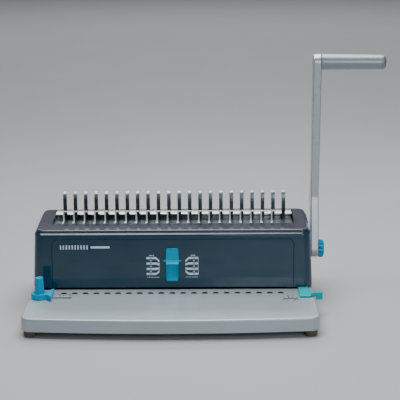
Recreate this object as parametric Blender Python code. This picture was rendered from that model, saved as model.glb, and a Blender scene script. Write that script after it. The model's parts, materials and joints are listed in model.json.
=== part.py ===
"""A manual comb binding machine: punch, comb opener, base and cranked handle, as separate pieces.

Sizes are in millimetres in the machine's own frame, and each mesh is scaled to metres as it is made.
X runs to the right, Y to the back and Z up. X = 0 is the middle of the base, Y = 0 the foot of the
front cover and Z = 0 the table. The empty "machine" then moves all of it so that the world origin is
the middle of the whole footprint, on the table. The origin of each moving group is on its joint axis.
"""

import math

import bmesh
import bpy
from mathutils import Matrix, Vector

MM = 0.001
GAP = 0.3  # clear distance between pieces that rest on each other

# Binding standard
PITCH = 14.2875  # hole to hole, 9/16 inch
HOLES = 21
FINGERS = 22
HOLE_X, HOLE_Y = 8.0, 3.0
PUNCH_Y = 20.0  # the line of holes, behind the front cover's foot

# Base
BASE_HALF = 186.4
BASE_FRONT, BASE_BOW, BASE_REAR = -114.0, 8.0, 125.0
BASE_BOTTOM, BASE_TOP = 8.3, 26.0
BASE_WALL, BASE_SKIN = 2.6, 2.8
FRONT_CORNER, REAR_CORNER = 12.5, 10.0
FOOT_R = 8.3
FOOT_SPOTS = [(-175.2, -103), (175.2, -103), (-175.2, 110), (175.2, 110)]
BOSS_SPOTS = [(-160, -60), (160, -60), (-165, 60), (165, 60)]

# Covers
COVER_BOTTOM = 28.3
COVER_WALL = 2.5
RIM_Y, RIM_Z = 7.0, 102.6  # front edge of the cover's top rim
RIM_HALF, RIM_REAR = 183.4, 99.0
COVER_CORNER = 12.0
LID_SLOPE = 0.0814
LID_Y, LID_Z = 10.0, 104.6  # front edge of the lid's top face
LID_HALF, LID_REAR, LID_DEPTH = 180.4, 96.0, 8.0
WELL_HALF, WELL_FRONT, WELL_REAR = 163.0, 35.0, 94.0  # opening in the lid over the comb opener

# Shaft and handle
SHAFT_Y, SHAFT_Z, SHAFT_R = 70.0, 61.0, 6.0
SHAFT_FREE_R = SHAFT_R + GAP
HANDLE_TURN = math.radians(80)
ARM_X0, ARM_X1 = 188.2, 198.9
GRIP_Y, GRIP_Z, GRIP_END = 71.0, 318.5, 285.0
GRIP_R0, GRIP_R1 = 10.3, 9.2

# Drives on the shaft
PRESS_TRAVEL = 8.0
ECCENTRIC_OFFSET = PRESS_TRAVEL / 2 / math.sin(HANDLE_TURN / 2)
ECCENTRIC_START = math.pi - HANDLE_TURN / 2
ECCENTRIC_R = 15.0
ROCKER_R = 17.0
ROCKER_START = math.pi / 2 - HANDLE_TURN / 2
ROCKER_PIN_R = 3.0

# Punch set
DIE_HALF = 165.0
DIE_Y0, DIE_Y1 = 5.0, 35.0
DIE_BOTTOM = 20.0
GUIDE_PLATE_Z0, GUIDE_PLATE_Z1 = 28.6, 33.6
PIN_TIP, PIN_TOP = 29.0, 47.4
BEAM_Z0, BEAM_Z1 = 52.0, 64.0
POST_X, POST_R = 158.0, 4.0
FRAME_X0, FRAME_X1 = 170.5, 173.5

# Comb opener
BED_Z0, BED_Z1 = 101.2, 102.4
FINGER_Y0, FINGER_Y1 = 74.3, 76.7
FINGER_W = 4.4
FINGER_SHIFT = 0.9  # the fingers stand this far to the right of the holes
FINGER_TIP = (84.0, 141.0)
HOOK_Z0, HOOK_Z1 = 99.0, 100.5
HOOK_TIP = 115.6

# Hand controls
SELECTOR_X = 0.0
SELECTOR_LOW, SELECTOR_HIGH = 9.4, 53.3  # along the slope of the front cover, from its foot
GUIDE_X, GUIDE_Y = -172.2, -34.0
GUIDE_TOP, GUIDE_DISH = 33.4, 1.6
GUIDE_SLOT_END = -132.8
LEVER_X0, LEVER_X1, LEVER_FRONT = 166.5, 180.5, -38.0
TRAY_HALF, TRAY_Z0, TRAY_Z1 = 150.0, 9.9, 19.2

ORIGIN_X = (GRIP_END - BASE_HALF) / 2
ORIGIN_Y = (BASE_REAR + BASE_FRONT - BASE_BOW) / 2
FACE_TILT = math.atan2(RIM_Y, RIM_Z - COVER_BOTTOM)  # the front cover leans back by this

FINISHES = {  # name: (colour, roughness, metallic)
    "silver_paint": ((0.36, 0.39, 0.42), 0.38, 0.35),
    "smoke_blue": ((0.03, 0.06, 0.09), 0.12, 0.0),
    "lid_grey": ((0.06, 0.065, 0.085), 0.3, 0.0),
    "teal_plastic": ((0.0, 0.38, 0.52), 0.3, 0.0),
    "handle_silver": ((0.42, 0.45, 0.48), 0.35, 0.6),
    "chrome": ((0.75, 0.75, 0.77), 0.08, 1.0),
    "steel": ((0.45, 0.46, 0.48), 0.35, 1.0),
    "bronze": ((0.5, 0.33, 0.15), 0.4, 1.0),
    "foot_rubber": ((0.16, 0.12, 0.08), 0.85, 0.0),
    "dark_plastic": ((0.05, 0.055, 0.06), 0.45, 0.0),
}


# ---------------------------------------------------------------- shapes in plain geometry


def arc(cx, cy, radius, start, end, steps):
    """Points on a circle from one angle to another, in degrees, both ends included."""
    angles = [math.radians(start + (end - start) * i / steps) for i in range(steps + 1)]
    return [(cx + radius * math.cos(a), cy + radius * math.sin(a)) for a in angles]


def circle(cx, cy, radius, sides):
    return arc(cx, cy, radius, 0, 360 * (sides - 1) / sides, sides - 1)


def rounded_rect(x0, x1, y0, y1, radius, steps=4):
    corners = [(x1, y1, 0), (x0, y1, 90), (x0, y0, 180), (x1, y0, 270)]
    points = []
    for x, y, start in corners:
        cx = x - radius if x == x1 else x + radius
        cy = y - radius if y == y1 else y + radius
        points += arc(cx, cy, radius, start, start + 90, steps)
    return points


def base_outline(inset):
    """The base seen from above: bowed front edge, large front corners, smaller rear ones."""
    half = BASE_HALF - inset
    rear = BASE_REAR - inset
    bend = BASE_HALF - FRONT_CORNER
    lean = math.degrees(math.atan(2 * BASE_BOW / bend))
    front_r, rear_r = FRONT_CORNER - inset, REAR_CORNER - inset
    points = arc(bend, BASE_FRONT + FRONT_CORNER, front_r, -90 + lean, 0, 6)
    points += arc(half - rear_r, rear - rear_r, rear_r, 0, 90, 4)
    points += arc(-half + rear_r, rear - rear_r, rear_r, 90, 180, 4)
    points += arc(-bend, BASE_FRONT + FRONT_CORNER, front_r, 180, 270 - lean, 6)
    steps = 12
    for i in range(1, steps):
        x = bend * (2 * i / steps - 1)
        points.append((x, BASE_FRONT + inset - BASE_BOW * (1 - (x / bend) ** 2)))
    return points


def place(outline, axis, at):
    """The outline's points in 3-D, on the plane across the axis. u and v are the other two axes in order."""
    if axis == "x":
        return [Vector((at, u, v)) for u, v in outline]
    if axis == "y":
        return [Vector((u, at, v)) for u, v in outline]
    return [Vector((u, v, at)) for u, v in outline]


def loft(bm, rings, closed=False):
    """Skins rings that have the same number of points. Open lofts get end caps, closed ones join up."""
    loops = [[bm.verts.new(p) for p in ring] for ring in rings]
    count = len(loops[0])
    pairs = list(zip(loops, loops[1:]))
    if closed:
        pairs.append((loops[-1], loops[0]))
    else:
        bm.faces.new(loops[0])
        bm.faces.new(loops[-1])
    for low, high in pairs:
        for i in range(count):
            j = (i + 1) % count
            bm.faces.new((low[i], low[j], high[j], high[i]))
    return bm


def prism(bm, outline, axis, lo, hi):
    return loft(bm, [place(outline, axis, lo), place(outline, axis, hi)])


def box(bm, x, y, z):
    """x, y and z are (low, high) pairs."""
    return prism(bm, [(x[0], y[0]), (x[1], y[0]), (x[1], y[1]), (x[0], y[1])], "z", *z)


def rod(bm, axis, centre, radius, lo, hi, sides=24):
    return prism(bm, circle(*centre, radius, sides), axis, lo, hi)


def turned(bm, axis, centre, profile, sides=24, closed=False):
    """A lathe shape: the profile is (radius, place along the axis) pairs."""
    return loft(bm, [place(circle(*centre, r, sides), axis, at) for r, at in profile], closed)


def shape(build, *args, **kwargs):
    """A new bmesh filled by one of the functions above."""
    return build(bmesh.new(), *args, **kwargs)


# ---------------------------------------------------------------- objects


def clear_scene():
    for obj in list(bpy.data.objects):
        bpy.data.objects.remove(obj)


def add_group(name, at, parent=None, tilt=0.0):
    """An empty that carries one moving group. at is its origin in the machine's frame."""
    group = bpy.data.objects.new(name, None)
    bpy.context.scene.collection.objects.link(group)
    group["at"] = at
    group.parent = parent
    start = Vector(parent["at"]) if parent else Vector((0, 0, 0))
    group.location = (Vector(at) - start) * MM
    group.rotation_euler = (tilt, 0, 0)
    return group


def new_object(name, bm, group, local=False):
    """Makes the object from millimetres in the machine's frame, or in the group's own if local."""
    bmesh.ops.recalc_face_normals(bm, faces=bm.faces)
    if not local:
        bmesh.ops.translate(bm, verts=bm.verts, vec=-Vector(group["at"]))
    bmesh.ops.scale(bm, verts=bm.verts, vec=(MM, MM, MM))
    mesh = bpy.data.meshes.new(name)
    bm.to_mesh(mesh)
    bm.free()
    obj = bpy.data.objects.new(name, mesh)
    bpy.context.scene.collection.objects.link(obj)
    obj.parent = group
    return obj


def finish_of(name):
    material = bpy.data.materials.get(name)
    if material is None:
        colour, roughness, metallic = FINISHES[name]
        material = bpy.data.materials.new(name)
        material.use_nodes = True
        shader = material.node_tree.nodes["Principled BSDF"]
        shader.inputs["Base Color"].default_value = (*colour, 1)
        shader.inputs["Roughness"].default_value = roughness
        shader.inputs["Metallic"].default_value = metallic
    return material


def add_piece(name, bm, group, finish, local=False):
    obj = new_object(name, bm, group, local)
    obj.data.materials.append(finish_of(finish))
    obj.data.shade_smooth()
    obj.data.set_sharp_from_angle(angle=math.radians(32))
    return obj


def boolean(obj, bm, group, operation, local=False):
    """Cuts or joins a helper shape, which stays in the file as a hidden wire object."""
    helper = new_object(f"helper_{obj.name}_{len(obj.modifiers)}", bm, group, local)
    helper.hide_render = True
    helper.display_type = "WIRE"
    modifier = obj.modifiers.new(operation.lower(), "BOOLEAN")
    modifier.operation = operation
    modifier.object = helper


def cut(obj, bm, group, local=False):
    boolean(obj, bm, group, "DIFFERENCE", local)


def fuse(obj, bm, group, local=False):
    boolean(obj, bm, group, "UNION", local)


def hole_centres():
    return [(i - (HOLES - 1) / 2) * PITCH for i in range(HOLES)]


def finger_centres():
    return [FINGER_SHIFT + (i - (FINGERS - 1) / 2) * PITCH for i in range(FINGERS)]


def lid_top(y):
    return LID_Z + (y - LID_Y) * LID_SLOPE


def sides_of(label):
    """The left and the right copy of a piece: its name and the sign of its X."""
    return [(f"{label}_left", -1), (f"{label}_right", 1)]


def span(a, b, sign):
    """The X range from a to b, on the left or on the right."""
    return (min(a * sign, b * sign), max(a * sign, b * sign))


# ---------------------------------------------------------------- base, feet and chip tray


def build_base(machine):
    rings = [
        place(base_outline(BASE_WALL), "z", BASE_TOP - BASE_SKIN),
        place(base_outline(BASE_WALL), "z", BASE_BOTTOM),
        place(base_outline(0.6), "z", BASE_BOTTOM),
        place(base_outline(0), "z", BASE_BOTTOM + 0.8),
        place(base_outline(0), "z", BASE_TOP - 2.0),
        place(base_outline(0.6), "z", BASE_TOP - 0.6),
        place(base_outline(2.0), "z", BASE_TOP),
    ]
    base = add_piece("base_plate", shape(loft, rings), machine, "silver_paint")
    bosses = bmesh.new()
    for x, y in BOSS_SPOTS:
        rod(bosses, "z", (x, y), 4.0, BASE_BOTTOM + 1.6, BASE_TOP - 1, 12)
    fuse(base, bosses, machine)
    window = shape(box, (-DIE_HALF - GAP, DIE_HALF + GAP), (DIE_Y0 - GAP, DIE_Y1 + GAP), (15, 40))
    cut(base, window, machine)
    slot = arc(GUIDE_SLOT_END, GUIDE_Y, 2.4, -90, 90, 6) + arc(GUIDE_X - 1, GUIDE_Y, 2.4, 90, 270, 6)
    cut(base, shape(prism, slot, "z", 15, 40), machine)
    mouth = shape(box, (-TRAY_HALF - 0.8, TRAY_HALF + 0.8), (110, 140), (0, TRAY_Z1 + 0.8))
    cut(base, mouth, machine)
    screw_holes = bmesh.new()
    for x, y in BOSS_SPOTS:
        rod(screw_holes, "z", (x, y), 1.8, 5, 18, 10)
    cut(base, screw_holes, machine)

    floor = shape(prism, base_outline(BASE_WALL + 0.4), "z", BASE_BOTTOM, BASE_BOTTOM + 1.2)
    cover = add_piece("bottom_cover", floor, machine, "steel")
    holes = bmesh.new()
    for x, y in FOOT_SPOTS:
        rod(holes, "z", (x, y), 3.3, 0, 20, 12)
    for x, y in BOSS_SPOTS:
        rod(holes, "z", (x, y), 1.9, 0, 20, 10)
    cut(cover, holes, machine)


def build_feet_and_screws(machine):
    seat = BASE_BOTTOM - GAP
    foot_profile = [(7.2, 0), (FOOT_R, 1.4), (FOOT_R, seat), (2.9, seat), (2.9, seat + 3.3)]
    for number, spot in enumerate(FOOT_SPOTS, 1):
        add_piece(f"foot_{number}", shape(turned, "z", spot, foot_profile, 20), machine, "foot_rubber")
    screw_profile = [(2.2, seat - 1.8), (3.2, seat - 1.2), (3.2, seat), (1.5, seat), (1.5, 17)]
    for number, spot in enumerate(BOSS_SPOTS, 1):
        add_piece(f"base_screw_{number}", shape(turned, "z", spot, screw_profile, 10), machine, "steel")


def build_chip_tray(tray):
    outer = [(-TRAY_HALF, 4.0), (TRAY_HALF, 4.0), (TRAY_HALF, BASE_REAR), (-TRAY_HALF, BASE_REAR)]
    wall, face = 1.5, 7.0
    inner = [
        (-TRAY_HALF + wall, 4.0 + wall),
        (TRAY_HALF - wall, 4.0 + wall),
        (TRAY_HALF - wall, BASE_REAR - face),
        (-TRAY_HALF + wall, BASE_REAR - face),
    ]
    rings = [
        place(outer, "z", TRAY_Z0),
        place(outer, "z", TRAY_Z1),
        place(inner, "z", TRAY_Z1),
        place(inner, "z", TRAY_Z0 + 1.3),
    ]
    body = add_piece("chip_tray", shape(loft, rings), tray, "dark_plastic")
    notch = rounded_rect(-22, 22, TRAY_Z0 + 1.4, TRAY_Z1 + 6, 2.5, 3)
    cut(body, shape(prism, notch, "y", BASE_REAR - 4.5, BASE_REAR + 10), tray)


# ---------------------------------------------------------------- covers


def cover_ring(t, inset):
    """One level of the cover. t is 0 at its foot and 1 at its rim, which slopes up to the back."""
    half = BASE_HALF + (RIM_HALF - BASE_HALF) * t - inset
    front = RIM_Y * t + inset
    rear = BASE_REAR + (RIM_REAR - BASE_REAR) * t - inset
    outline = rounded_rect(-half, half, front, rear, COVER_CORNER - inset, 5)
    level = COVER_BOTTOM + (RIM_Z - COVER_BOTTOM) * t
    return [Vector((x, y, level + LID_SLOPE * (y - RIM_Y) * t)) for x, y in outline]


def cover_shell():
    rings = [cover_ring(0, COVER_WALL), cover_ring(0, 0.4), cover_ring(0.006, 0), cover_ring(0.98, 0)]
    rings += [cover_ring(0.994, 0.5), cover_ring(1, 1.4), cover_ring(1, COVER_WALL)]
    return shape(loft, rings, closed=True)


def build_covers(machine):
    seam_drop = 14.0  # the side walls of the front cover end this far before the rear wall
    slope = (RIM_REAR - BASE_REAR) / (RIM_Z - COVER_BOTTOM)
    low, high = 8.0, 128.0

    def seam(z):
        return BASE_REAR - seam_drop + (z - COVER_BOTTOM) * slope

    def beyond_seam(shift, reach):
        outline = [(seam(low) + shift, low), (reach, low), (reach, high), (seam(high) + shift, high)]
        return shape(prism, outline, "x", -200, 200)

    front = add_piece("front_cover", cover_shell(), machine, "smoke_blue")
    cut(front, beyond_seam(-0.2, 220), machine)
    cut(front, shape(rod, "x", (SHAFT_Y, SHAFT_Z), 8.0, 176, 195, 20), machine)
    cut(front, shape(box, (SELECTOR_X - 3.2, SELECTOR_X + 3.2), (-6, 12), (44.6, 60.6)), machine)

    rear = add_piece("rear_cover", cover_shell(), machine, "lid_grey")
    cut(rear, beyond_seam(0.2, -220), machine)
    vents = bmesh.new()
    for i in range(9):
        x = (i - 4) * 12.0
        prism(vents, rounded_rect(x - 2, x + 2, 55, 80, 1.9, 3), "y", 90, 140)
    cut(rear, vents, machine)

    lid_rings = []
    for drop, inset in ((LID_DEPTH, 0), (1.2, 0), (0.35, 0.4), (0, 1.3)):
        outline = rounded_rect(
            -LID_HALF + inset, LID_HALF - inset, LID_Y + inset, LID_REAR - inset, 10 - inset, 5
        )
        lid_rings.append([Vector((x, y, lid_top(y) - drop)) for x, y in outline])
    lid = add_piece("top_cover", shape(loft, lid_rings), machine, "lid_grey")
    well = rounded_rect(-WELL_HALF, WELL_HALF, WELL_FRONT, WELL_REAR, 2.5, 3)
    cut(lid, shape(prism, well, "z", 80, 130), machine)
    skin = 2.5
    for x0, x1, y0, y1 in (
        (-LID_HALF + skin, -WELL_HALF - skin, LID_Y + skin, LID_REAR - skin),
        (WELL_HALF + skin, LID_HALF - skin, LID_Y + skin, LID_REAR - skin),
        (-WELL_HALF, WELL_HALF, LID_Y + skin, WELL_FRONT - skin),
    ):
        hollow = [(y0, 80), (y1, 80), (y1, lid_top(y1) - skin), (y0, lid_top(y0) - skin)]
        cut(lid, shape(prism, hollow, "x", x0, x1), machine)


# ---------------------------------------------------------------- frame and punch set


def build_frame(machine):
    profile = [(7, 34), (48, 34), (48, 26.3), (117, 26.3), (95, 92), (16, 92), (7, 60)]
    for name, sign in sides_of("side_frame"):
        frame = add_piece(
            name, shape(prism, profile, "x", *span(FRAME_X0, FRAME_X1, sign)), machine, "steel"
        )
        cut(frame, shape(rod, "x", (SHAFT_Y, SHAFT_Z), 9.3, *span(160, 180, sign)), machine)
    for name, sign in sides_of("shaft_bush"):
        inner = SHAFT_FREE_R
        stations = [(inner, 169.0), (9.0, 169.0), (9.0, 173.8), (11.5, 173.8), (11.5, 176.0), (inner, 176.0)]
        profile = [(r, at * sign) for r, at in stations]
        bush = shape(turned, "x", (SHAFT_Y, SHAFT_Z), profile, 20, closed=True)
        add_piece(name, bush, machine, "bronze")
    tie = shape(rod, "x", (102, 45), 4.0, -FRAME_X0 + GAP, FRAME_X0 - GAP, 12)
    add_piece("tie_bar", tie, machine, "steel")


def punch_holes(clearance, z0, z1):
    holes = bmesh.new()
    x_half, y_half = HOLE_X / 2 + clearance, HOLE_Y / 2 + clearance
    for x in hole_centres():
        box(holes, (x - x_half, x + x_half), (PUNCH_Y - y_half, PUNCH_Y + y_half), (z0, z1))
    return holes


def build_punch_set(machine):
    die = shape(box, (-DIE_HALF, DIE_HALF), (DIE_Y0, DIE_Y1), (DIE_BOTTOM, BASE_TOP))
    die = add_piece("die_plate", die, machine, "steel")
    cut(die, punch_holes(0.1, 10, 30), machine)
    guide = shape(box, (-176, 176), (DIE_Y0, DIE_Y1), (GUIDE_PLATE_Z0, GUIDE_PLATE_Z1))
    guide = add_piece("guide_plate", guide, machine, "steel")
    cut(guide, punch_holes(0.1, 20, 40), machine)
    for name, sign in sides_of("die_spacer"):
        block = shape(
            box, span(152, DIE_HALF, sign), (DIE_Y0 + 0.5, 16), (BASE_TOP + GAP, GUIDE_PLATE_Z0 - GAP)
        )
        add_piece(name, block, machine, "steel")
    for name, sign in sides_of("guide_post"):
        post = shape(rod, "z", (POST_X * sign, PUNCH_Y), POST_R, GUIDE_PLATE_Z1 + GAP, 84, 16)
        add_piece(name, post, machine, "steel")
    for name, sign in sides_of("return_spring"):
        add_piece(name, coil_spring(POST_X * sign), machine, "steel")


def coil_spring(x):
    """A compression spring round a guide post, between the guide plate and the beam."""
    turns, per_turn, coil_r, wire_r, sides = 5, 9, 5.7, 0.8, 5
    z0, z1 = GUIDE_PLATE_Z1 + GAP + wire_r, BEAM_Z0 - GAP - wire_r
    rings = []
    steps = turns * per_turn
    for i in range(steps + 1):
        a = 2 * math.pi * i / per_turn
        level = z0 + (z1 - z0) * i / steps
        centre = Vector((x + coil_r * math.cos(a), PUNCH_Y + coil_r * math.sin(a), level))
        out = Vector((math.cos(a), math.sin(a), 0))
        up = Vector((0, 0, 1))
        rings.append(
            [
                centre + wire_r * (math.cos(b) * out + math.sin(b) * up)
                for b in (2 * math.pi * k / sides for k in range(sides))
            ]
        )
    return shape(loft, rings)


def build_press(press):
    """The beam, the row of pins under it and the two yokes that the eccentrics work in."""
    beam = shape(box, (-165, 165), (12, 28), (BEAM_Z0, BEAM_Z1))
    beam = add_piece("punch_beam", beam, press, "steel")
    bores = bmesh.new()
    for sign in (-1, 1):
        rod(bores, "z", (POST_X * sign, PUNCH_Y), POST_R + 0.4, 40, 80, 16)
    cut(beam, bores, press)

    strip = shape(box, (-147.6, 147.6), (15.5, 24.5), (PIN_TOP, BEAM_Z0 - GAP))
    strip = add_piece("punch_pins", strip, press, "steel")
    pins = bmesh.new()
    x_half, y_half = HOLE_X / 2 - 0.1, HOLE_Y / 2 - 0.1
    for x in hole_centres():
        box(pins, (x - x_half, x + x_half), (PUNCH_Y - y_half, PUNCH_Y + y_half), (PIN_TIP, PIN_TOP + 2))
    fuse(strip, pins, press)

    centre_z = SHAFT_Z + ECCENTRIC_OFFSET * math.sin(ECCENTRIC_START)
    outer, reach = 20.0, ECCENTRIC_R + 0.4
    outline = [
        (28.3, BEAM_Z0),
        (44, centre_z - outer),
        (87, centre_z - outer),
        (87, centre_z + outer),
        (44, centre_z + outer),
        (28.3, BEAM_Z1),
    ]
    for name, sign in sides_of("punch_yoke"):
        yoke = add_piece(name, shape(prism, outline, "x", *span(136, 141, sign)), press, "steel")
        window = [
            (48, centre_z - reach),
            (82.5, centre_z - reach),
            (82.5, centre_z + reach),
            (48, centre_z + reach),
        ]
        cut(yoke, shape(prism, window, "x", *span(130, 150, sign)), press)


# ---------------------------------------------------------------- shaft and handle


def build_shaft(handle):
    stations = [(5.2, -178.0), (SHAFT_R, -177.2), (SHAFT_R, ARM_X1 - 0.5), (4.0, ARM_X1 - 0.5), (4.0, 204.0)]
    add_piece("main_shaft", shape(turned, "x", (SHAFT_Y, SHAFT_Z), stations, 24), handle, "steel")
    ecc_y = SHAFT_Y + ECCENTRIC_OFFSET * math.cos(ECCENTRIC_START)
    ecc_z = SHAFT_Z + ECCENTRIC_OFFSET * math.sin(ECCENTRIC_START)
    for name, sign in sides_of("eccentric"):
        disc = shape(rod, "x", (ecc_y, ecc_z), ECCENTRIC_R, *span(135.5, 141.5, sign), 32)
        disc = add_piece(name, disc, handle, "steel")
        cut(disc, shape(rod, "x", (SHAFT_Y, SHAFT_Z), SHAFT_FREE_R, *span(120, 150, sign)), handle)
    start = math.degrees(ROCKER_START)
    pin = (SHAFT_Y + ROCKER_R * math.cos(ROCKER_START), SHAFT_Z + ROCKER_R * math.sin(ROCKER_START))
    outline = arc(*pin, 6, start - 80, start + 80, 8)
    outline += arc(SHAFT_Y, SHAFT_Z, 11, start + 80, start + 280, 12)
    for name, sign in sides_of("rocker"):
        rocker = add_piece(name, shape(prism, outline, "x", *span(121, 126, sign)), handle, "steel")
        fuse(rocker, shape(rod, "x", pin, ROCKER_PIN_R, *span(114.5, 123, sign), 16), handle)
        cut(rocker, shape(rod, "x", (SHAFT_Y, SHAFT_Z), SHAFT_FREE_R, *span(110, 140, sign)), handle)
    clip = [(SHAFT_FREE_R, -177.0), (9.0, -177.0), (9.0, -176.3), (SHAFT_FREE_R, -176.3)]
    add_piece("shaft_clip", shape(turned, "x", (SHAFT_Y, SHAFT_Z), clip, 20, closed=True), handle, "steel")


def arm_outline():
    """The arm from the side: a boss on the shaft, a lower part that leans back, and a long upright part."""
    boss = 12.0
    points = arc(SHAFT_Y, SHAFT_Z, boss, 172, 350, 12)
    points += [(99, 128), (97, 142), (91, 152), (82, 306)]
    points += arc(GRIP_Y, GRIP_Z, GRIP_R0 + 0.2, -8, 188, 12)
    points += [(71.6, 136), (70.8, 130)]
    return points


def build_handle(handle):
    arm = shape(prism, arm_outline(), "x", ARM_X0, ARM_X1)
    arm = add_piece("handle_arm", arm, handle, "handle_silver")
    cut(arm, shape(rod, "x", (SHAFT_Y, SHAFT_Z), SHAFT_FREE_R, 180, 210), handle)
    cut(arm, shape(rod, "x", (GRIP_Y, GRIP_Z), 4.3, ARM_X0 + 3, 210, 16), handle)
    rod_piece = shape(rod, "x", (GRIP_Y, GRIP_Z), 4.0, ARM_X0 + 3.4, GRIP_END - 14, 16)
    add_piece("grip_rod", rod_piece, handle, "steel")
    start, end = ARM_X1 + GAP, GRIP_END - 3.2
    bore = 4.3
    grip = [(bore, start), (GRIP_R0, start), (GRIP_R1, end - 1), (GRIP_R1 - 0.5, end), (bore, end)]
    grip = shape(turned, "x", (GRIP_Y, GRIP_Z), grip, 28, closed=True)
    add_piece("handle_grip", grip, handle, "handle_silver")
    cap = [
        (4.0, GRIP_END - 9),
        (4.0, end + GAP),
        (GRIP_R1 - 0.4, end + GAP),
        (GRIP_R1 - 1.0, GRIP_END - 1.2),
        (6.2, GRIP_END),
    ]
    add_piece("grip_end_cap", shape(turned, "x", (GRIP_Y, GRIP_Z), cap, 28), handle, "handle_silver")


def lobed(cx, cy, radius, depth, lobes, per_lobe):
    """A circle with shallow scallops, for a knob that fingers can hold."""
    points = []
    for i in range(lobes * per_lobe):
        a = 2 * math.pi * i / (lobes * per_lobe)
        r = radius - depth * (0.5 - 0.5 * math.cos(lobes * a))
        points.append((cx + r * math.cos(a), cy + r * math.sin(a)))
    return points


def build_handle_knob(knob):
    x0, x1 = ARM_X1 + GAP, 206.8
    centre = (SHAFT_Y, SHAFT_Z)
    stations = [(11.6, x0), (12.7, x0 + 1.0), (12.6, x1 - 3.0), (11.8, x1 - 0.9), (10.2, x1)]
    rings = [place(lobed(*centre, r, 1.4, 10, 5), "x", at) for r, at in stations]
    body = add_piece("handle_knob", shape(loft, rings), knob, "teal_plastic")
    cut(body, shape(rod, "x", centre, 4.3, 190, 204.4, 16), knob)


# ---------------------------------------------------------------- comb opener


def build_comb_bed(machine):
    """Folded sheet: a raised bed with a row of slots, and a flange at each end on the side frames."""
    sheet, foot = 1.2, 92.3
    half, flange = WELL_HALF - 0.7, 176.0
    profile = [
        (-flange, foot),
        (-half + sheet, foot),
        (-half + sheet, BED_Z0),
        (half - sheet, BED_Z0),
        (half - sheet, foot),
        (flange, foot),
        (flange, foot + sheet),
        (half, foot + sheet),
        (half, BED_Z1),
        (-half, BED_Z1),
        (-half, foot + sheet),
        (-flange, foot + sheet),
    ]
    bed = add_piece("comb_bed", shape(prism, profile, "y", 36.5, 93.0), machine, "chrome")
    slots = bmesh.new()
    for x in hook_centres():
        box(slots, (x - 1.6, x + 1.6), (45, 73.9), (96, 106))
    cut(bed, slots, machine)


def finger_rings(x):
    """Cross-sections of one upright finger, which curves to the back and narrows at its tip."""
    tip_y, tip_z = FINGER_TIP
    front, back = FINGER_Y0, FINGER_Y1
    half = FINGER_W / 2
    stations = [
        (front, back, 103.0, 103.0, half),
        (front, back, 124.0, 124.0, half),
        (front + 0.6, back + 0.5, 131.0, 130.4, half),
        (front + 2.6, back + 2.2, 136.4, 135.2, half),
        (tip_y - 3.6, tip_y - 3.2, 139.6, 137.8, half * 0.8),
        (tip_y - 0.8, tip_y - 0.4, tip_z, 139.4, half * 0.45),
    ]
    return [
        [Vector((x - w, y0, z0)), Vector((x + w, y0, z0)), Vector((x + w, y1, z1)), Vector((x - w, y1, z1))]
        for y0, y1, z0, z1, w in stations
    ]


def build_comb_rake(machine):
    profile = [
        (76.4, BED_Z1 + GAP),
        (92.8, BED_Z1 + GAP),
        (92.8, 111.4),
        (91.6, 111.8),
        (77.2, 109.8),
        (76.4, 109.0),
    ]
    half = WELL_HALF - 0.6
    rake = add_piece("comb_rake", shape(prism, profile, "x", -half, half), machine, "chrome")
    fingers = bmesh.new()
    for x in finger_centres():
        loft(fingers, finger_rings(x))
    fuse(rake, fingers, machine)


def hook_centres():
    """The leg of a hook stands just left of each finger, and its arm reaches across in front of it."""
    return [x - 2.0 for x in finger_centres()[:HOLES]]


def build_hook_slide(slide):
    plate = shape(box, (-156, 156), (62, 92), (HOOK_Z0, HOOK_Z1))
    plate = add_piece("hook_plate", plate, slide, "chrome")
    hooks = bmesh.new()
    leg, reach, thick = 1.0, 4.4, 1.8
    for x in hook_centres():
        outline = [
            (x - leg, HOOK_Z0 + 0.6),
            (x + leg, HOOK_Z0 + 0.6),
            (x + leg, HOOK_TIP - thick),
            (x + reach, HOOK_TIP - thick),
            (x + reach, HOOK_TIP - 0.7),
            (x + reach - 0.7, HOOK_TIP),
            (x - leg + 0.9, HOOK_TIP),
            (x - leg, HOOK_TIP - 0.9),
        ]
        prism(hooks, outline, "y", 69.6, 71.4)
    fuse(plate, hooks, slide)
    pin_y = SHAFT_Y + ROCKER_R * math.cos(ROCKER_START)
    slot = ROCKER_PIN_R + 0.6
    for name, sign in sides_of("hook_bracket"):
        side = shape(box, span(116, 119.5, sign), (pin_y - 8, pin_y + 8), (67.6, HOOK_Z0 - GAP))
        bracket = add_piece(name, side, slide, "steel")
        opening = rounded_rect(pin_y - slot, pin_y + slot, 69.5, 82.5, slot - 0.01, 4)
        cut(bracket, shape(prism, opening, "x", *span(110, 125, sign)), slide)


# ---------------------------------------------------------------- hand controls


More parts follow.
